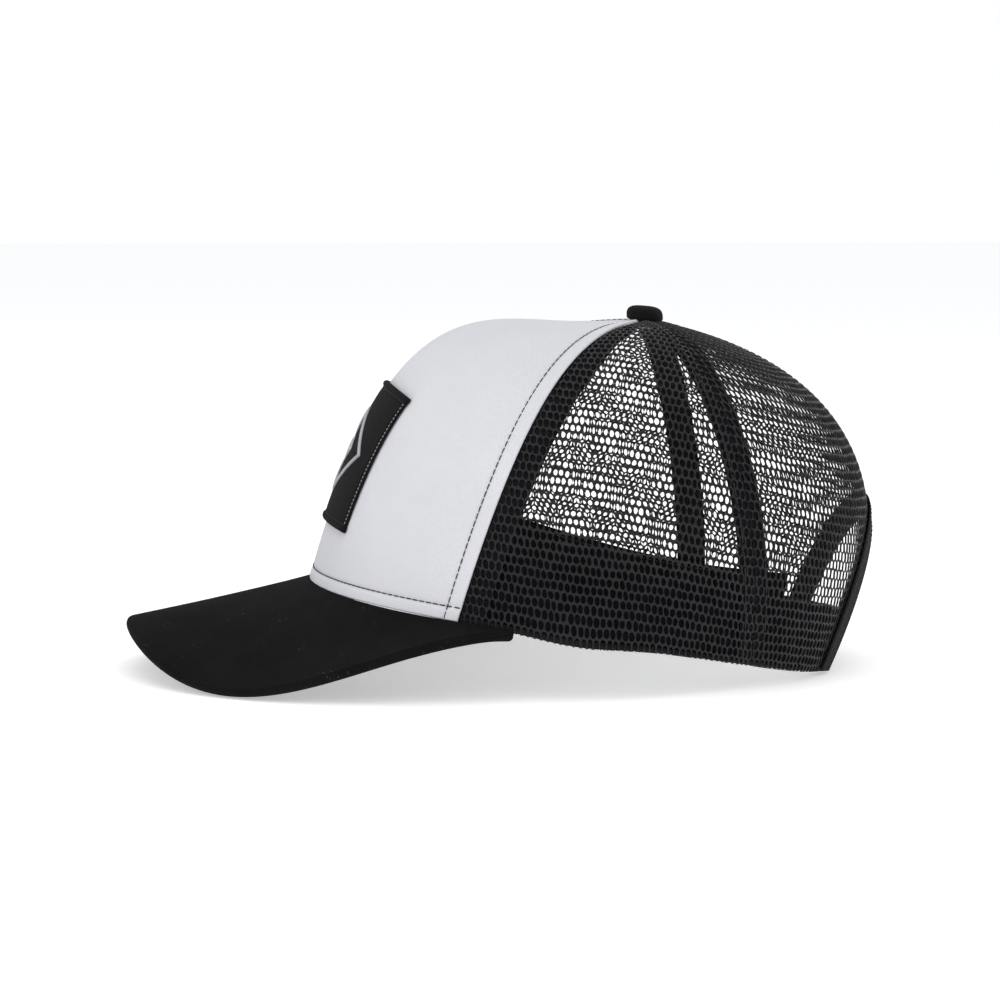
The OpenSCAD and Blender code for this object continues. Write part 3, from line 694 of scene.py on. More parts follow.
def mesh_part(phi_c, low, high, arch, seed):
    ridge, height, rim = cell_template()
    at = int(round((phi_c - PHI0) / DPHI))
    s_table = S_OF_PHI - S_OF_PHI[at]
    s_axis = np.arange(-110, 110.1, 1.0)
    phi_table = np.array([np.interp(s_axis, s_table[:, k], PHIS) for k in range(len(VS))]).T
    rows = np.arange(-1, int(175 / ROW_PITCH))
    cols = np.arange(-46, 47)
    row, col = [g.ravel() for g in np.meshgrid(rows, cols, indexing="ij")]
    s0 = (col + 0.5 * (row % 2)) * HOLE_PITCH
    v0 = (row + 0.5) * ROW_PITCH - 0.35

    def locate(s, v):
        # the knit isn't perfectly even
        ds = (0.12 * np.sin(s * 0.61 + v * 0.23 + seed) + 0.08 * np.sin(v * 1.7 - s * 0.9 + 2 * seed)
              + 0.25 * np.sin(v * 0.11 + seed))
        dv = (0.14 * np.sin(s * 0.37 - v * 0.41 + seed) + 0.08 * np.sin(s * 1.9 + v * 0.8)
              + 0.3 * np.sin(s * 0.083 + 2 * seed))
        s, v = s + ds, v + dv
        phi = look_up(phi_table, s - s_axis[0], np.maximum(v, 0) / DV)
        return phi, v

    mid_phi, mid_v = locate(s0, v0)
    mid_t = t_arc(mid_phi, np.maximum(mid_v, 0))
    # cells are cut at the panel's edges further down, so those just past them stay for now
    pad = turn(1.6, mid_phi, np.maximum(mid_t, 0.03))
    keep = (mid_phi > low(mid_t) - pad) & (mid_phi < high(mid_t) + pad) & (mid_v > -2) & (mid_t > 0.02)
    if arch:
        rise = np.linalg.norm(crown(mid_phi, mid_t) - crown(mid_phi, 1 + 0 * mid_t), axis=-1)
        keep &= arch_distance(mid_phi, rise) > 3.0
    s0, v0 = s0[keep], v0[keep]
    cells = len(s0)

    ring = np.arange(12)
    ridge_s, ridge_v = s0[:, None] + ridge[None, :, 0], v0[:, None] + ridge[None, :, 1]
    keys = np.round(np.stack([ridge_s, ridge_v], -1) * 200).astype(np.int64).reshape(-1, 2)
    code = keys[:, 0] * 1000003 + keys[:, 1]
    _, first, owner = np.unique(code, return_index=True, return_inverse=True)
    ridge_id = owner.reshape(cells, 12)
    rs, rv = ridge_s.ravel()[first], ridge_v.ravel()[first]
    rh = np.tile(height, cells)[first]
    layers = [(rs, rv, rh), (rs, rv, -rh)]
    noise = np.random.default_rng(int(seed * 10))
    swell = 1 + 0.09 * np.clip(noise.standard_normal((cells, 1)), -2, 2)
    squash = 1 + 0.07 * np.clip(noise.standard_normal((cells, 1)), -2, 2)
    drift = 0.07 * np.clip(noise.standard_normal((cells, 2)), -2, 2)
    for part, level in ((0.42, 0.82), (0.0, 0.0), (0.42, -0.82)):
        ps = (rim[None, :, 0] * swell + drift[:, :1]) * (1 - part) + ridge[None, :, 0] * part
        pv = (rim[None, :, 1] * squash + drift[:, 1:]) * (1 - part) + ridge[None, :, 1] * part
        layers.append(((s0[:, None] + ps).ravel(), (v0[:, None] + pv).ravel(),
                       np.tile(height * level, cells)))
    s = np.concatenate([x[0] for x in layers])
    v = np.concatenate([x[1] for x in layers])
    lift = np.concatenate([x[2] for x in layers])
    phi, v = locate(s, v)
    t = t_arc(phi, np.maximum(v, 0))
    lo, hi = low(t), high(t)
    outside = (phi < lo) | (phi > hi) | (v < 0)
    phi = np.clip(phi, lo, hi)
    to_low, to_high = across(phi - lo, phi, t), across(hi - phi, phi, t)
    depth = YARN_DEPTH + soft(phi, t) * 0.8
    depth = depth + 0.45 * np.exp(-(to_low / 1.5) ** 2) + 0.45 * np.exp(-(to_high / 1.5) ** 2)
    depth = depth + 0.25 * np.maximum(0, 1.4 - np.maximum(v, 0)) ** 2
    verts = under(phi, t, depth - lift)
    verts[..., 2] -= mesh_sag(phi, v)

    n_ridge = len(rs)
    base = 2 * n_ridge
    own = np.arange(cells)[:, None] * 12 + ring[None, :]
    rings = [ridge_id, base + own, base + cells * 12 + own, base + 2 * cells * 12 + own, n_ridge + ridge_id]
    faces = []
    for a, b in zip(rings[:-1], rings[1:]):
        faces.append(np.stack([a, np.roll(a, -1, 1), np.roll(b, -1, 1), b], -1).reshape(-1, 4))
    faces = np.concatenate(faces)
    faces = faces[~outside[faces].all(axis=1)]
    p = verts[faces]
    area = np.linalg.norm(np.cross(p[:, 2] - p[:, 0], p[:, 3] - p[:, 1]), axis=1)
    faces = faces[area > 0.004]
    cloth = np.stack([s, v], -1)
    return verts, faces, cloth


def build_mesh_panels():
    def side_low(t):
        return seam_front(t) + turn(SEAM_GAP / 2 + 0.2, seam_front(t), np.maximum(t, 0.02))

    def side_high(t):
        return seam_side(t) - turn(SEAM_GAP / 2, seam_side(t), np.maximum(t, 0.02))

    def back_low(t):
        return seam_side(t) + turn(SEAM_GAP / 2, seam_side(t), np.maximum(t, 0.02))

    def back_high(t):
        return 180 - turn(SEAM_GAP / 2, 180 + 0 * t, np.maximum(t, 0.02))

    for kind, node, args in (("side", "side_mesh", (80.0, side_low, side_high, False, 0.4)),
                             ("back", "back_mesh", (144.0, back_low, back_high, True, 1.9))):
        part = mesh_part(*args)
        for hand, flip in (("left", False), ("right", True)):
            piece(f"mesh_{kind}_{hand}", mirrored(part) if flip else part, YARN, "mesh", f"{node}_{hand}")


# ---- Tapes, binding, sweatband ----------------------------------------------------------------


def tape_part(seam, t_from, t_to):
    width = TAPE_W - 0.3
    x = edge_steps(width, 0.8) - width / 2
    count = int(150 * (t_to - t_from)) + 12
    t = np.linspace(t_from, t_to, count)
    phi = seam(t)[None, :] + np.degrees(x[:, None] / crown_r(seam(t), t)[None, :])
    tt = np.broadcast_to(t, phi.shape)
    side = width / 2 - np.abs(x)[:, None]
    along = np.concatenate([[0], np.cumsum(np.linalg.norm(np.diff(crown(seam(t), t), axis=0), axis=1))])
    end = np.minimum(along, along[-1] - along)[None, :]
    lip = roll(np.minimum(side, end + 0.05), 0.24)
    dent = 0.12 * bump_at(side, 1.5, 0.5)
    wave = 0.05 * np.sin(along[None, :] / 2.1 + x[:, None])
    outer = under(phi, tt, TAPE_DEPTH + 0.05 + lip)
    inner = under(phi, tt, TAPE_DEPTH + TAPE_T - lip - dent + wave * (side > 0.5))
    cloth = np.stack(np.broadcast_arrays(x[:, None], along[None, :]), -1)
    part = shell(outer, inner, cloth)
    rows = []
    for sx in (-1, 1):
        off = sx * (width / 2 - 1.5)
        ph = seam(t) + np.degrees(off / crown_r(seam(t), t))
        rows.append(stitches(under(ph, t, np.full(count, TAPE_DEPTH + TAPE_T - 0.05)),
                             -crown_normal(ph, t)))
        if seam is not front_tape_line:
            rows.append(stitches(under(ph, t, np.full(count, YARN_DEPTH - 0.28)), crown_normal(ph, t),
                                 lift=0.12, sink=0.35))
    return part, join_parts(rows)


def front_tape_line(t):
    """Middle of the front seam tape, which leans towards the mesh below the button."""
    shift = FRONT_TAPE_SHIFT * np.clip((t - TOP_T) / TAPE_SHIFT_SPAN, 0, 1)
    return seam_front(t) + turn(shift, seam_front(t), t)


def build_tapes():
    back_end = float(t_rise(180.0, ARCH_H + BINDING_W + 0.4))
    for name, seam, t_to, sides in (("front", front_tape_line, 0.999, 2), ("side", seam_side, 0.999, 2),
                                    ("back", seam_back, back_end, 1)):
        tape, rows = tape_part(seam, TOP_T, t_to)
        for hand in (("left", "right") if sides == 2 else ("",)):
            a, b = (mirrored(tape), mirrored(rows)) if hand == "right" else (tape, rows)
            full = f"tape_{name}_{hand}".rstrip("_")
            piece(full, a, TAPE, "tape", f"seam_{full}")
            black_rows(f"{full}_stitches", [b])


def arch_point(a, out, depth):
    a, out = np.broadcast_arrays(np.asarray(a, float), np.asarray(out, float))
    phi = 180 + (ARCH_PHI + out * EDGE_DEG) * np.sin(np.radians(a))
    t = t_rise(phi, (ARCH_H + out) * np.cos(np.radians(a)))
    return under(phi, t, depth), crown_normal(phi, t)


def build_binding():
    thick = BINDING_T - 0.1
    face, back = -0.2, PANEL_T + 0.2
    mid = (face + back) / 2
    half = (back - face) / 2
    # half section of the folded tape, from the outer leaf's end round the fold to the inner leaf's end
    leaf = np.array([BINDING_W - 0.1, 8.6, 7.8, 7.2, 6.0, 4.5, 3.2, 2.4, 1.8, 1.2, 0.6])
    fold = np.radians(np.linspace(90, -90, 9))
    mid_out = np.concatenate([leaf, 0.25 - (half + thick / 2 + 0.15) * np.cos(fold) * 0.62, leaf[::-1]])
    mid_dep = np.concatenate([mid - (half + thick / 2) + 0 * leaf, mid - (half + thick / 2) * np.sin(fold),
                              mid + (half + thick / 2) + 0 * leaf])
    line = np.stack([mid_out, mid_dep], -1)
    step = np.gradient(line, axis=0)
    nrm = unit(np.stack([step[:, 1], -step[:, 0]], -1))
    run = np.concatenate([[0], np.cumsum(np.linalg.norm(np.diff(line, axis=0), axis=1))])
    ends = np.minimum(run, run[-1] - run)
    half_t = thick / 2 - roll(ends, thick / 2 - 0.02) * 0.95
    dent = 0.10 * (bump_at(ends, 1.9, 0.45))
    loop = np.concatenate([line + nrm * (half_t - dent)[:, None], (line - nrm * half_t[:, None])[::-1]])
    count = 170
    a = np.linspace(-89, 89, count)
    verts, _ = arch_point(a[:, None], loop[None, :, 0], loop[None, :, 1])
    m = len(loop)
    index = np.arange(count * m).reshape(count, m)
    n_line = len(line)
    caps = []
    for k, flip in ((0, False), (count - 1, True)):
        q = np.stack([index[k, :n_line - 1], index[k, m - 1:m - n_line:-1],
                      index[k, m - 2:m - n_line - 1:-1], index[k, 1:n_line]], -1)
        caps.append(q[:, ::-1] if flip else q)
    arc = np.concatenate([[0], np.cumsum(np.linalg.norm(np.diff(verts[:, 0], axis=0), axis=1))])
    over = np.concatenate([run, run[::-1]])
    cloth = np.stack(np.broadcast_arrays(over[None, :], arc[:, None]), -1)
    part = verts.reshape(-1, 3), np.concatenate([tube(index)] + caps), cloth.reshape(-1, 2)
    piece("arch_tape", part, TAPE, "tape", "arch_binding")
    rows = []
    for out in (7.2, 1.6):
        for depth, sign in ((face - thick + 0.04, 1), (back + thick - 0.04, -1)):
            p, n = arch_point(a, np.full(count, out), np.full(count, depth))
            rows.append(stitches(p, sign * n))
    black_rows("arch_stitches", rows)


def build_sweatband():
    phi = edge_steps(2.0, 0.0075, (0, .0006, .0018, .004)) - 1
    phi = phi * (180 - BAND_END)
    v = edge_steps(BAND_H, 1.1)
    pp, vv = np.meshgrid(phi, v[::-1], indexing="ij")
    t = t_rise(pp, vv)
    along = across(pp, pp, t)
    end = (180 - BAND_END - np.abs(pp)) * np.radians(1) * 75
    d = np.minimum(np.minimum(vv, BAND_H - vv), np.maximum(end, 0))
    lip = roll(d, 0.72)
    puff = 0.28 * np.sin(np.pi * np.clip((vv - 3.2) / (BAND_H - 6.0), 0, 1)) ** 0.7
    dent = 0.35 * bump_at(vv, 3.0, 0.7) + 0.30 * bump_at(vv, BAND_H - 2.6, 0.7)
    wrinkle = 0.07 * np.sin(along / 3.1 + 0.8 * np.sin(along / 11) + vv / 7) * np.clip(vv / 8, 0, 1)
    outer = under(pp, t, BAND_DEPTH + 0.05 + lip)
    inner = under(pp, t, BAND_DEPTH + BAND_T + puff - dent - lip + wrinkle)
    cloth = np.stack([along, vv], -1)
    ob = piece("sweatband_facing", shell(outer, inner, cloth), BAND, "sweatband_cloth",
               "sweatband", "sweatband_padding")
    rows = []
    ph = np.linspace(-(180 - BAND_END) + 0.8, 180 - BAND_END - 0.8, 420)
    for rise in (3.0, BAND_H - 2.6):
        tt = t_rise(ph, np.full(len(ph), rise))
        path = under(ph, tt, np.full(len(ph), BAND_DEPTH + BAND_T - 0.2))
        rows.append(stitches(path, -crown_normal(ph, tt)))
    black_rows("sweatband_stitches", rows)


def build_hem():
    """Folded edge of the cloth behind the mesh, along the bottom."""
    phi = np.linspace(seam_front(1.0) + 0.3, 180 - ARCH_PHI - 1.0, 150)
    ring = np.linspace(0, 2 * np.pi, 13)[:-1]
    pp, vv = np.meshgrid(phi, 1.15 - 0.95 * np.cos(ring), indexing="ij")
    verts = under(pp, t_rise(pp, vv), np.broadcast_to(1.35 + 0.62 * np.sin(ring), pp.shape))
    verts[..., 2] -= mesh_sag(pp, vv)
    index = np.arange(pp.size).reshape(pp.shape)
    cloth = np.stack([vv, np.radians(pp) * 80], -1).reshape(-1, 2)
    part = verts.reshape(-1, 3), tube(index)[:, ::-1], cloth
    piece("bottom_hem", join_parts([mirrored(part), part]), TAPE, "tape")


# ---- Brim -------------------------------------------------------------------------------------


def brim_seam(s):
    edge = under(s * BRIM_PHI, 1 + 0 * s, BRIM_TUCK + 0 * s)
    return edge - np.array([0, 0, 0.9 + 0.8 + 0.4])


def brim_edge(s):
    corner = crown(BRIM_PHI, 1.0)
    bow = np.radians(np.clip(s, -1, 1) * 90)
    x = corner[0] * np.sin(bow) + np.sign(s) * BRIM_FLARE * np.sin(2 * np.abs(bow))
    y = corner[1] - (BRIM_TIP_R - AXIS_Y + corner[1]) * np.cos(bow)
    z = BRIM_TIP_Z * np.cos(bow) ** 2 + corner[2] * np.sin(bow) ** 2 - BRIM_DIP * np.sin(2 * bow) ** 2
    return np.stack([x, y, z], -1)


def brim_point(s, u):
    return mix(brim_seam(s), brim_edge(s), u[..., None])


def brim_normal(s, u):
    one = np.ones_like(s)
    return unit(np.cross(brim_point(s, one) - brim_point(s, 0 * one),
                         brim_point(s + 0.002, u) - brim_point(s - 0.002, u)))


def build_brim():
    span = 0.962
    s = span * np.sin(np.linspace(-1, 1, 161) * np.pi / 2 * 0.98) / np.sin(np.pi / 2 * 0.98)
    reach = np.linalg.norm(brim_edge(s) - brim_seam(s), axis=-1)
    off = np.array([0, .03, .1, .22, .4, .65, .95, 1.3, 1.75, 2.3, 3.0, 4.0, 5.2])
    inner_u = np.linspace(0, 1, 46)
    for name, sign, node in (("brim_cover_top", 1, "brim_top_cover"),
                             ("brim_cover_under", -1, "brim_under_cover")):
        scale = np.minimum(1, reach / 26)
        past = 1 - off[None, :] * scale[:, None] / reach[:, None]
        u = np.concatenate([inner_u[None, :-1] * past[:, -1:], past[:, ::-1]], axis=1)
        ss = np.broadcast_to(s[:, None], u.shape)
        d = (1 - u) * reach[:, None] / scale[:, None]
        seam = u * reach[:, None]
        side = (span - np.abs(ss)) * 90
        slit = 0.01
        rounding = roll(np.minimum(d, side), BRIM_HALF) / BRIM_HALF
        outer_h = slit + (BRIM_HALF - slit) * (1 - rounding)
        # the cover sinks a little into the groove where the two covers are sewn together
        inner_h = np.clip(outer_h - 0.8, 0.005, 1.1)
        soften = 0.05 * np.sin(seam / 9 + ss * 4) * np.clip(d / 10, 0, 1)
        if sign > 0:
            soften = soften + 0.8 * np.clip(1 - seam / 3.5, 0, 1) ** 2
        n = brim_normal(ss, u)
        p = brim_point(ss, u)
        outer = p + sign * (outer_h + soften)[..., None] * n
        inner = p + sign * inner_h[..., None] * n
        cloth = np.stack([p[..., 0], seam], -1)
        piece(name, shell(outer, inner, cloth), BRIM, "brim_cloth", node, flip=sign > 0)


# ---- Button -----------------------------------------------------------------------------------


def build_button():
    radius = (BUTTON_HIGH[0] - BUTTON_LOW[0]) / 2
    low, high = BUTTON_LOW[2], BUTTON_HIGH[2]
    tall = high - low
    n_a, n_r = 64, 26
    a = np.linspace(0, 2 * np.pi, n_a, endpoint=False)
    k = np.linspace(0, np.pi / 2, n_r)
    power = 0.62
    r = radius * np.cos(k) ** power
    z = low + tall * np.sin(k) ** power
    r[-1] = 0
    # under the rim the cover turns inwards
    r = np.concatenate([[radius * 0.45, radius * 0.8, radius * 0.95, radius], r])
    z = np.concatenate([[low - 1.45, low - 1.3, low - 0.85, low - 0.3], z])
    fold = 1 + 0.006 * np.cos(13 * a)[:, None] * (z < low + 1.0)[None, :]
    x = r[None, :] * np.cos(a)[:, None] * fold
    y = r[None, :] * np.sin(a)[:, None] * fold
    zz = np.broadcast_to(z, x.shape) - 0.085 * y - 0.0035 * (x * x)
    verts = np.stack([x, AXIS_Y + y, zz + 0.1], -1)
    rings = verts.shape[1] - 1
    index = np.arange(n_a * rings).reshape(n_a, rings).T
    last, pole = index[-1], n_a * rings
    tris = np.stack([last, np.roll(last, -1), np.full(n_a, pole)], -1)
    faces = np.concatenate([triangles(tube(index)), tris])
    verts = np.concatenate([verts[:, :-1].reshape(-1, 3), [[0, AXIS_Y, high + 0.1]]])
    piece("button_fabric", (verts, faces, verts[:, :2]), BUTTON, "brim_cloth", "button_cover")

    # the panels' tips, gathered round the shank under the button
    ring_r = np.linspace(1.35, 6.6, 12)
    spoke = np.linspace(0, 360, 65)[:-1]
    rr, pp = np.meshgrid(ring_r, spoke, indexing="ij")
    t_ring = np.stack([np.interp(ring_r, crown_r(q, TS[:200]), TS[:200]) for q in spoke], 1)
    pleat = 0.06 * np.cos(np.radians(pp) * 10)
    low_face = under(pp, t_ring, 1.25 + 0 * pp)
    top_face = under(pp, t_ring, 0.35 + pleat + 0.5 * np.clip((rr - 5.4) / 1.2, 0, 1) ** 2)
    loop = np.concatenate([top_face, low_face[::-1]])
    count, wide = loop.shape[:2]
    index = np.arange(count * wide).reshape(count, wide)
    over, along = np.roll(index, -1, axis=0), np.roll(index, -1, axis=1)
    both = np.roll(over, -1, axis=1)
    quads = np.stack([index, along, both, over], -1).reshape(-1, 4)
    cloth = np.repeat(np.concatenate([rr, rr[::-1]]).reshape(-1, 1), 2, axis=1)
    piece("button_gather", (loop.reshape(-1, 3), quads, cloth), BUTTON, "brim_cloth")


# ---- Patch ------------------------------------------------------------------------------------


def patch_place(x, y):
    """phi and t of a point of the patch, whose rows lie square to the centre line."""
    t_mid = t_rise(0 * y, PATCH_RISE + y)
    phi = turn(x, 0 * y, t_mid)
    up = unit(crown(0 * phi, t_mid + 0.002) - crown(0 * phi, t_mid - 0.002))
    middle = crown(0 * phi, t_mid)
    t = t_mid
    for _ in range(5):
        slope = ((crown(phi, t + 0.002) - crown(phi, t - 0.002)) * up).sum(-1) / 0.004
        t = t - ((crown(phi, t) - middle) * up).sum(-1) / slope
    return phi, t


def patch_point(x, y, depth):
    phi, t = patch_place(x, y)
    return under(phi, t, depth)


def patch_normal(x, y):
    return crown_normal(*patch_place(x, y))


def build_patch():
    half = PATCH_W / 2
    near = (0, .06, .16, .34, .6, .95, 1.3, 1.7, 2.1, 2.6, 3.2)
    x = edge_steps(PATCH_W, 0.9, near) - half
    y = edge_steps(PATCH_H, 0.9, near)[::-1]
    xx, yy = np.meshgrid(x, y, indexing="ij")
    d_x = half - np.abs(xx)
    d_y = np.minimum(yy, PATCH_H - yy)
    # the folded top and bottom edges are thicker and stand out a little at the sides
    fold = 2.6
    full = np.sin(np.pi * np.clip(d_y / fold, 0, 1)) * (d_y < fold)
    xs = xx * (1 + 0.018 * full)
    thick = PATCH_T + 0.75 * full
    # the side edges thin out, and the stitch rows pull the cloth in
    thick = thick - 0.45 * np.clip(1 - d_x / 2.2, 0, 1)
    thick = thick - 0.15 * bump_at(d_x, 1.0, 0.35) * (d_y > 2.4) - 0.25 * bump_at(d_y, 2.75, 0.4)
    thick = thick + 0.05 * np.sin(xx / 2.3 + yy / 5) * (d_y < fold)
    lip = roll(np.minimum(d_x, d_y), 0.6)
    outer = patch_point(xs, yy, -0.2 - thick + lip)
    inner = patch_point(xs, yy, -0.12 - lip)
    piece("patch_cloth", shell(outer, inner, np.stack([xx, yy], -1)), PATCH, "patch_cloth", "patch")

    def row(x0, y0, x1, y1, depth):
        w = np.linspace(0, 1, 60)
        px, py = mix(x0, x1, w), mix(y0, y1, w)
        return stitches(patch_point(px, py, np.full(60, depth)), patch_normal(px, py), pitch=1.45,
                        length=0.95, width=0.34, height=0.22)
    ix = half - 1.0
    top = PATCH_H - 2.75
    rows = [row(-ix, 2.9, -ix, top, -PATCH_T + 0.2), row(ix, 2.9, ix, top, -PATCH_T + 0.2)]
    piece("patch_side_stitches", join_parts(rows), GREY_THREAD, "grey_thread", "patch_stitching")
    black_rows("patch_fold_stitches", [row(-ix, 2.75, ix, 2.75, -PATCH_T), row(-ix, top, ix, top, -PATCH_T)])
    build_emblem()


def build_emblem():
    """Embroidery: a plain diamond outline and a small solid one, in satin stitch."""
    mid = PATCH_H / 2
    corners = [np.array(c, float) for c in ((0, mid - DIAMOND_H), (DIAMOND_W, mid), (0, mid + DIAMOND_H),
                                            (-DIAMOND_W, mid))]
    centre = np.array([0, mid])
    parts = []
    for k in range(4):
        a, b = corners[k], corners[(k + 1) % 4]
        ia, ib = [c + unit(centre - c) * DIAMOND_LINE * 1.25 for c in (a, b)]
        long = np.linalg.norm(b - a)
        n_l = int(long / 0.12)
        w = np.linspace(0, 1, n_l)
        q = np.linspace(0, 1, 11)
        outer_line, inner_line = mix(a, b, w[:, None]), mix(ia, ib, w[:, None])
        pts = mix(outer_line[:, None], inner_line[:, None], q[None, :, None])
        ridge = 0.09 * np.abs(np.sin(np.pi * w * long / 0.46))[:, None]
        dome = np.sqrt(np.clip(1 - (2 * q - 1) ** 2, 0, 1))[None, :]
        h = 0.05 + (0.52 + ridge) * dome
        face = patch_point(pts[..., 0], pts[..., 1], -0.2 - PATCH_T - h)
        back = patch_point(pts[..., 0], pts[..., 1], np.full(h.shape, -0.1 - PATCH_T))
        cloth = np.stack(np.broadcast_arrays((w * long)[:, None], (q * DIAMOND_LINE)[None, :]), -1)
        parts.append(shell(face, back, cloth))
    n = 90
    w = np.linspace(-1, 1, n)
    gx, gy = np.meshgrid(w, w, indexing="ij")
    px, py = (gx - gy) / 2 * DIAMOND_DOT, (gx + gy) / 2 * DIAMOND_DOT + mid
    dome = np.sqrt(np.clip((1 - gx ** 2), 0, 1)) ** 0.5 * np.clip((1 - gy ** 2) * 6, 0, 1) ** 0.5
    h = 0.03 + (0.5 + 0.09 * np.abs(np.sin(np.pi * py / 0.46))) * dome
    parts.append(shell(patch_point(px, py, -0.2 - PATCH_T - h)[:, ::-1],
                       patch_point(px, py, -0.1 - PATCH_T + 0 * h)[:, ::-1],
                       np.stack([py, px], -1)[:, ::-1]))
    piece("patch_diamond", join_parts(parts), GREY_THREAD, "grey_thread", "patch_emblem")


# ---- Snap straps ------------------------------------------------------------------------------


def strap_r(z, depth):
    wall = 180 - TAB_END
    return (crown_r(wall, 1.0) + (z - crown_z(wall, 1.0)) * np.tan(np.radians(STRAP_LEAN))
            - depth / np.cos(np.radians(STRAP_LEAN)))


STRAP_R = float(crown_r(180 - TAB_END, 1.0))


def strap_point(delta, z, depth):
    r = strap_r(z, depth)
    a = np.radians(delta)
    return np.stack([r * np.sin(a), AXIS_Y + r * np.cos(a), z], -1)


def strap_plan(with_holes):
    """Flat strap: points (x along it from the tip's centre, z from its middle) and its faces."""
    h = STRAP_H / 2
    pitch = np.radians(PEG_PITCH) * STRAP_R
    end = np.radians(TAB_END + 2.5 * PEG_PITCH) * STRAP_R
    rows, cols = 12, 44
    zs = np.linspace(-h, h, rows + 1)
    verts, quads = [], []

    def add(points):
        start = sum(len(v) for v in verts)
        verts.append(np.asarray(points, float))
        return start + np.arange(len(points))

    def line(x, z):
        return np.stack(np.broadcast_arrays(x, z), -1)

    for k in range(PEG_COUNT):
        centre, x1 = k * pitch, (k + 0.5) * pitch
        x0 = x1 - pitch
        if k:
            xs = np.linspace(x0, x1, 5)
            outline = np.concatenate([line(x1, zs[:-1]), line(xs[:0:-1], h), line(x0, zs[:0:-1]),
                                      line(xs[:-1], -h)])
        else:
            arc = np.radians(np.linspace(90, 270, 25))
            outline = np.concatenate([line(x1, zs), [[x1 / 2, h]], h * line(np.cos(arc), np.sin(arc)),
                                      [[x1 / 2, -h]]])
        m = len(outline)
        if with_holes:
            angle = np.arctan2(outline[:, 1], outline[:, 0] - centre)
            circle = HOLE_R * line(np.cos(angle), np.sin(angle)) + [centre, 0]
            rings = [circle + (outline - circle) * share for share in (0.0, 0.12, 0.45)] + [outline]
            quads.append(tube(np.array([add(ring) for ring in rings])))
        else:
            hub, last = add([[centre, 0]])[0], add(outline)
            inner = add([centre, 0] + (outline - [centre, 0]) * 0.5)
            quads.append(tube(np.array([inner, last])))
            quads.append(np.array([[hub, inner[i], inner[(i + 1) % m], inner[(i + 2) % m if i + 1 < m else 0]]
                                   for i in range(0, m, 2)]))
    grid = line(*np.meshgrid(np.linspace((PEG_COUNT - 0.5) * pitch, end, cols + 1), zs, indexing="ij"))
    ids = add(grid.reshape(-1, 2)).reshape(cols + 1, rows + 1)
    quads.append(np.stack([ids[:-1, :-1], ids[1:, :-1], ids[1:, 1:], ids[:-1, 1:]], -1).reshape(-1, 4))
    verts, quads = np.concatenate(verts), np.concatenate(quads)
    key = np.round(verts * 500).astype(np.int64)
    _, first, owner = np.unique(key[:, 0] * 1000003 + key[:, 1], return_index=True, return_inverse=True)
    return verts[first], owner[quads]


def strap_object(name, side, depth, with_holes):
    """One strap as a single moulding, from its round tip to the end stitched into the seam."""
    plan, quads = strap_plan(with_holes)
    bm = bmesh.new()
    delta = -side * 2.5 * PEG_PITCH + side * np.degrees(plan[:, 0] / STRAP_R)
    for face_depth in (depth, depth + STRAP_T):
        for p in strap_point(delta, STRAP_Z + STRAP_H / 2 + plan[:, 1], face_depth):
            bm.verts.new(p * MM)
    bm.verts.ensure_lookup_table()
    count = len(plan)
    faces = [list(dict.fromkeys(q)) for q in quads.tolist()]
    edges = {}
    for f in faces:
        if len(f) > 2:
            bm.faces.new([bm.verts[i] for i in f[::side]])
            bm.faces.new([bm.verts[i + count] for i in f[::-side]])
            edges.update(dict.fromkeys(zip(f, f[1:] + f[:1])))
    for a, b in edges:
        if (b, a) not in edges:
            bm.faces.new([bm.verts[i] for i in (b, a, a + count, b + count)[::side]])
    bmesh.ops.recalc_face_normals(bm, faces=bm.faces[:])
    sharp = [e for e in bm.edges if len(e.link_faces) == 2 and e.calc_face_angle() > 0.9]
    bmesh.ops.bevel(bm, geom=sharp, offset=0.28 * MM, segments=3, affect="EDGES", profile=0.5)
    me = bpy.data.meshes.new(name)
    bm.to_mesh(me)
    bm.free()
    me.materials.append(STRAP)
    me.polygons.foreach_set("use_smooth", np.full(len(me.polygons), True))
    ob = bpy.data.objects.new(name, me)
    bpy.context.scene.collection.objects.link(ob)
    return ob


def peg_part(delta, depth_outer):
    """One snap peg: a stem with a fuller rounded head, standing on the inner strap."""
    z_mid = STRAP_Z + STRAP_H / 2
    base = strap_point(np.array(delta), np.array(z_mid), np.array(depth_outer + STRAP_T + 0.3))
    lean, a = np.radians(STRAP_LEAN), np.radians(delta)
    out = np.array([np.cos(lean) * np.sin(a), np.cos(lean) * np.cos(a), -np.sin(lean)])
    tangent = np.array([np.cos(a), -np.sin(a), 0])
    up = np.cross(out, tangent)
    heights = np.array([-0.3, 0.0, 0.25, 0.8, 1.1, 1.35, 1.55, PEG_H - 0.03, PEG_H])
    radii = np.array([1.75, 1.6, 1.42, 1.42, 1.72, 1.78, 1.6, 1.1, 0.0])
    n = 28
    ring = np.linspace(0, 2 * np.pi, n, endpoint=False)
    spokes = np.cos(ring)[None, :, None] * tangent + np.sin(ring)[None, :, None] * up
    verts = base + heights[:-1, None, None] * out + radii[:-1, None, None] * spokes
    top = (base + PEG_H * out)[None, :]
    index = np.arange((len(heights) - 1) * n).reshape(-1, n)
    tris = np.stack([index[-1], np.roll(index[-1], -1), np.full(n, index.size)], -1)
    faces = np.concatenate([triangles(tube(index)), tris])
    return np.concatenate([verts.reshape(-1, 3), top]), faces, np.zeros((index.size + 1, 2))


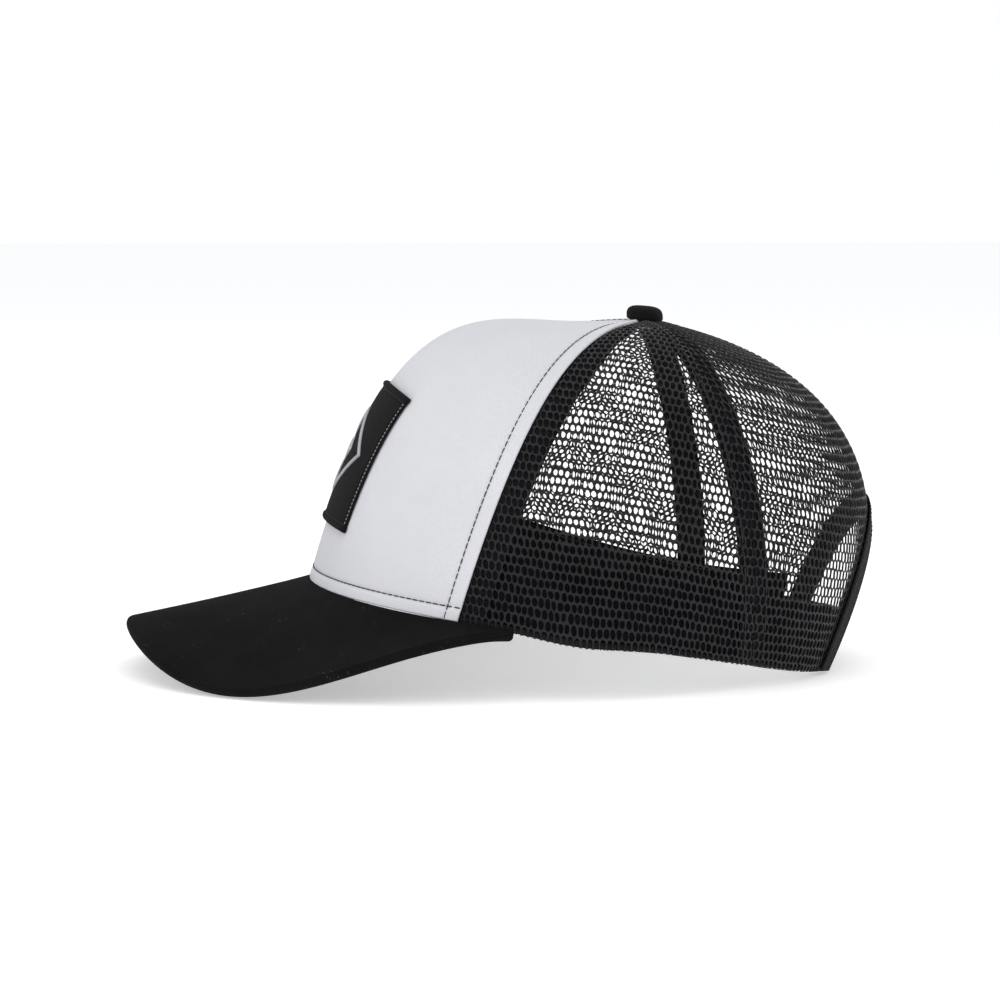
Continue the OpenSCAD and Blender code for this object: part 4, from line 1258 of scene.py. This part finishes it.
def build_straps():
    outer = strap_object("strap_with_holes", 1, OUTER_STRAP, True)
    inner = strap_object("strap_with_pegs", -1, INNER_STRAP, False)
    for ob, body, side, nodes in ((outer, "outer_strap", 1, ("hole_strap", "hole_strap_tab")),
                                  (inner, "inner_strap", -1, ("peg_strap", "peg_strap_tab"))):
        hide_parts(*nodes)
        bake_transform(ob)
    pegs = [peg_part((k - 2.5) * PEG_PITCH, OUTER_STRAP) for k in range(PEG_COUNT)]
    piece("strap_pegs", join_parts(pegs), STRAP, "strap_plastic", body="inner_strap")


# ---- Studio -----------------------------------------------------------------------------------


def studio():
    scene = bpy.context.scene
    scene.view_settings.view_transform = "Standard"
    world = bpy.data.worlds.new("studio")
    scene.world = world
    world.use_nodes = True
    nt = world.node_tree
    nt.nodes.clear()
    out = nt.nodes.new("ShaderNodeOutputWorld")
    seen, light, pick, path = [nt.nodes.new(k) for k in (
        "ShaderNodeBackground", "ShaderNodeBackground", "ShaderNodeMixShader", "ShaderNodeLightPath")]
    seen.inputs["Color"].default_value = (1, 1, 1, 1)
    seen.inputs["Strength"].default_value = 1.0
    light.inputs["Color"].default_value = (0.97, 0.98, 1, 1)
    light.inputs["Strength"].default_value = 0.6
    nt.links.new(path.outputs["Is Camera Ray"], pick.inputs["Fac"])
    nt.links.new(light.outputs[0], pick.inputs[1])
    nt.links.new(seen.outputs[0], pick.inputs[2])
    nt.links.new(pick.outputs[0], out.inputs["Surface"])

    size = 8.0
    me = bpy.data.meshes.new("floor")
    corners = [(-size, -size, 0), (size, -size, 0), (size, size, 0), (-size, size, 0)]
    me.from_pydata(corners, [], [(0, 1, 2, 3)])
    floor = bpy.data.objects.new("floor", me)
    scene.collection.objects.link(floor)
    m = Nodes("floor_paper", (0.93, 0.93, 0.93), 0.95, spec=0.0)
    m.set("Emission Color", (1, 1, 1, 1))
    m.set("Emission Strength", 0.42)
    m.bump(m.noise(m.space(), 300.0), 0.1, 0.1)
    me.materials.append(m.mat)
    floor.location.z = min(0.0, cad_box[0][2]) - 0.00002

    def area(name, where, aim, sx, sy, watts):
        data = bpy.data.lights.new(name, "AREA")
        data.shape, data.size, data.size_y, data.energy = "RECTANGLE", sx, sy, watts
        ob = bpy.data.objects.new(name, data)
        scene.collection.objects.link(ob)
        ob.location = where
        ob.rotation_euler = (Vector(aim) - Vector(where)).to_track_quat("-Z", "Y").to_euler()
    area("soft_top", (0.15, -0.1, 1.7), (0, 0, 0.05), 1.8, 1.8, 8.5)
    area("soft_front", (0.9, -1.6, 0.95), (0, 0, 0.06), 1.1, 1.1, 3.6)
    area("soft_near", (1.7, 0.5, 0.9), (0, 0, 0.06), 1.0, 1.2, 3.4)
    area("soft_rear", (-1.2, 1.3, 0.9), (0, 0, 0.06), 1.2, 1.0, 3.5)


def camera():
    scene = bpy.context.scene
    data = bpy.data.cameras.new("camera")
    data.sensor_width, data.lens = 36.0, 105.74
    data.clip_start, data.clip_end = 0.05, 30
    cam = bpy.data.objects.new("camera", data)
    scene.collection.objects.link(cam)
    azimuth, elevation, distance = np.radians(5.31), np.radians(6.13), 1.1
    aim = Vector((0, (AXIS_Y - 54.23) * MM, 0.06147))
    toward = Vector((np.cos(azimuth) * np.cos(elevation), -np.sin(azimuth) * np.cos(elevation),
                     np.sin(elevation)))
    cam.location = aim + toward * distance
    cam.rotation_euler = toward.to_track_quat("Z", "Y").to_euler()
    scene.camera = cam


for node, mat in (("brim_board", BOARD), ("button_shell", STEEL), ("button_tack", STEEL)):
    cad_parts[node].data.materials.clear()
    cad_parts[node].data.materials.append(mat)

build_front()
build_topstitch()
build_buckram()
build_mesh_panels()
build_tapes()
build_binding()
build_sweatband()
build_hem()
build_brim()
build_button()
build_patch()
build_straps()

studio()
camera()
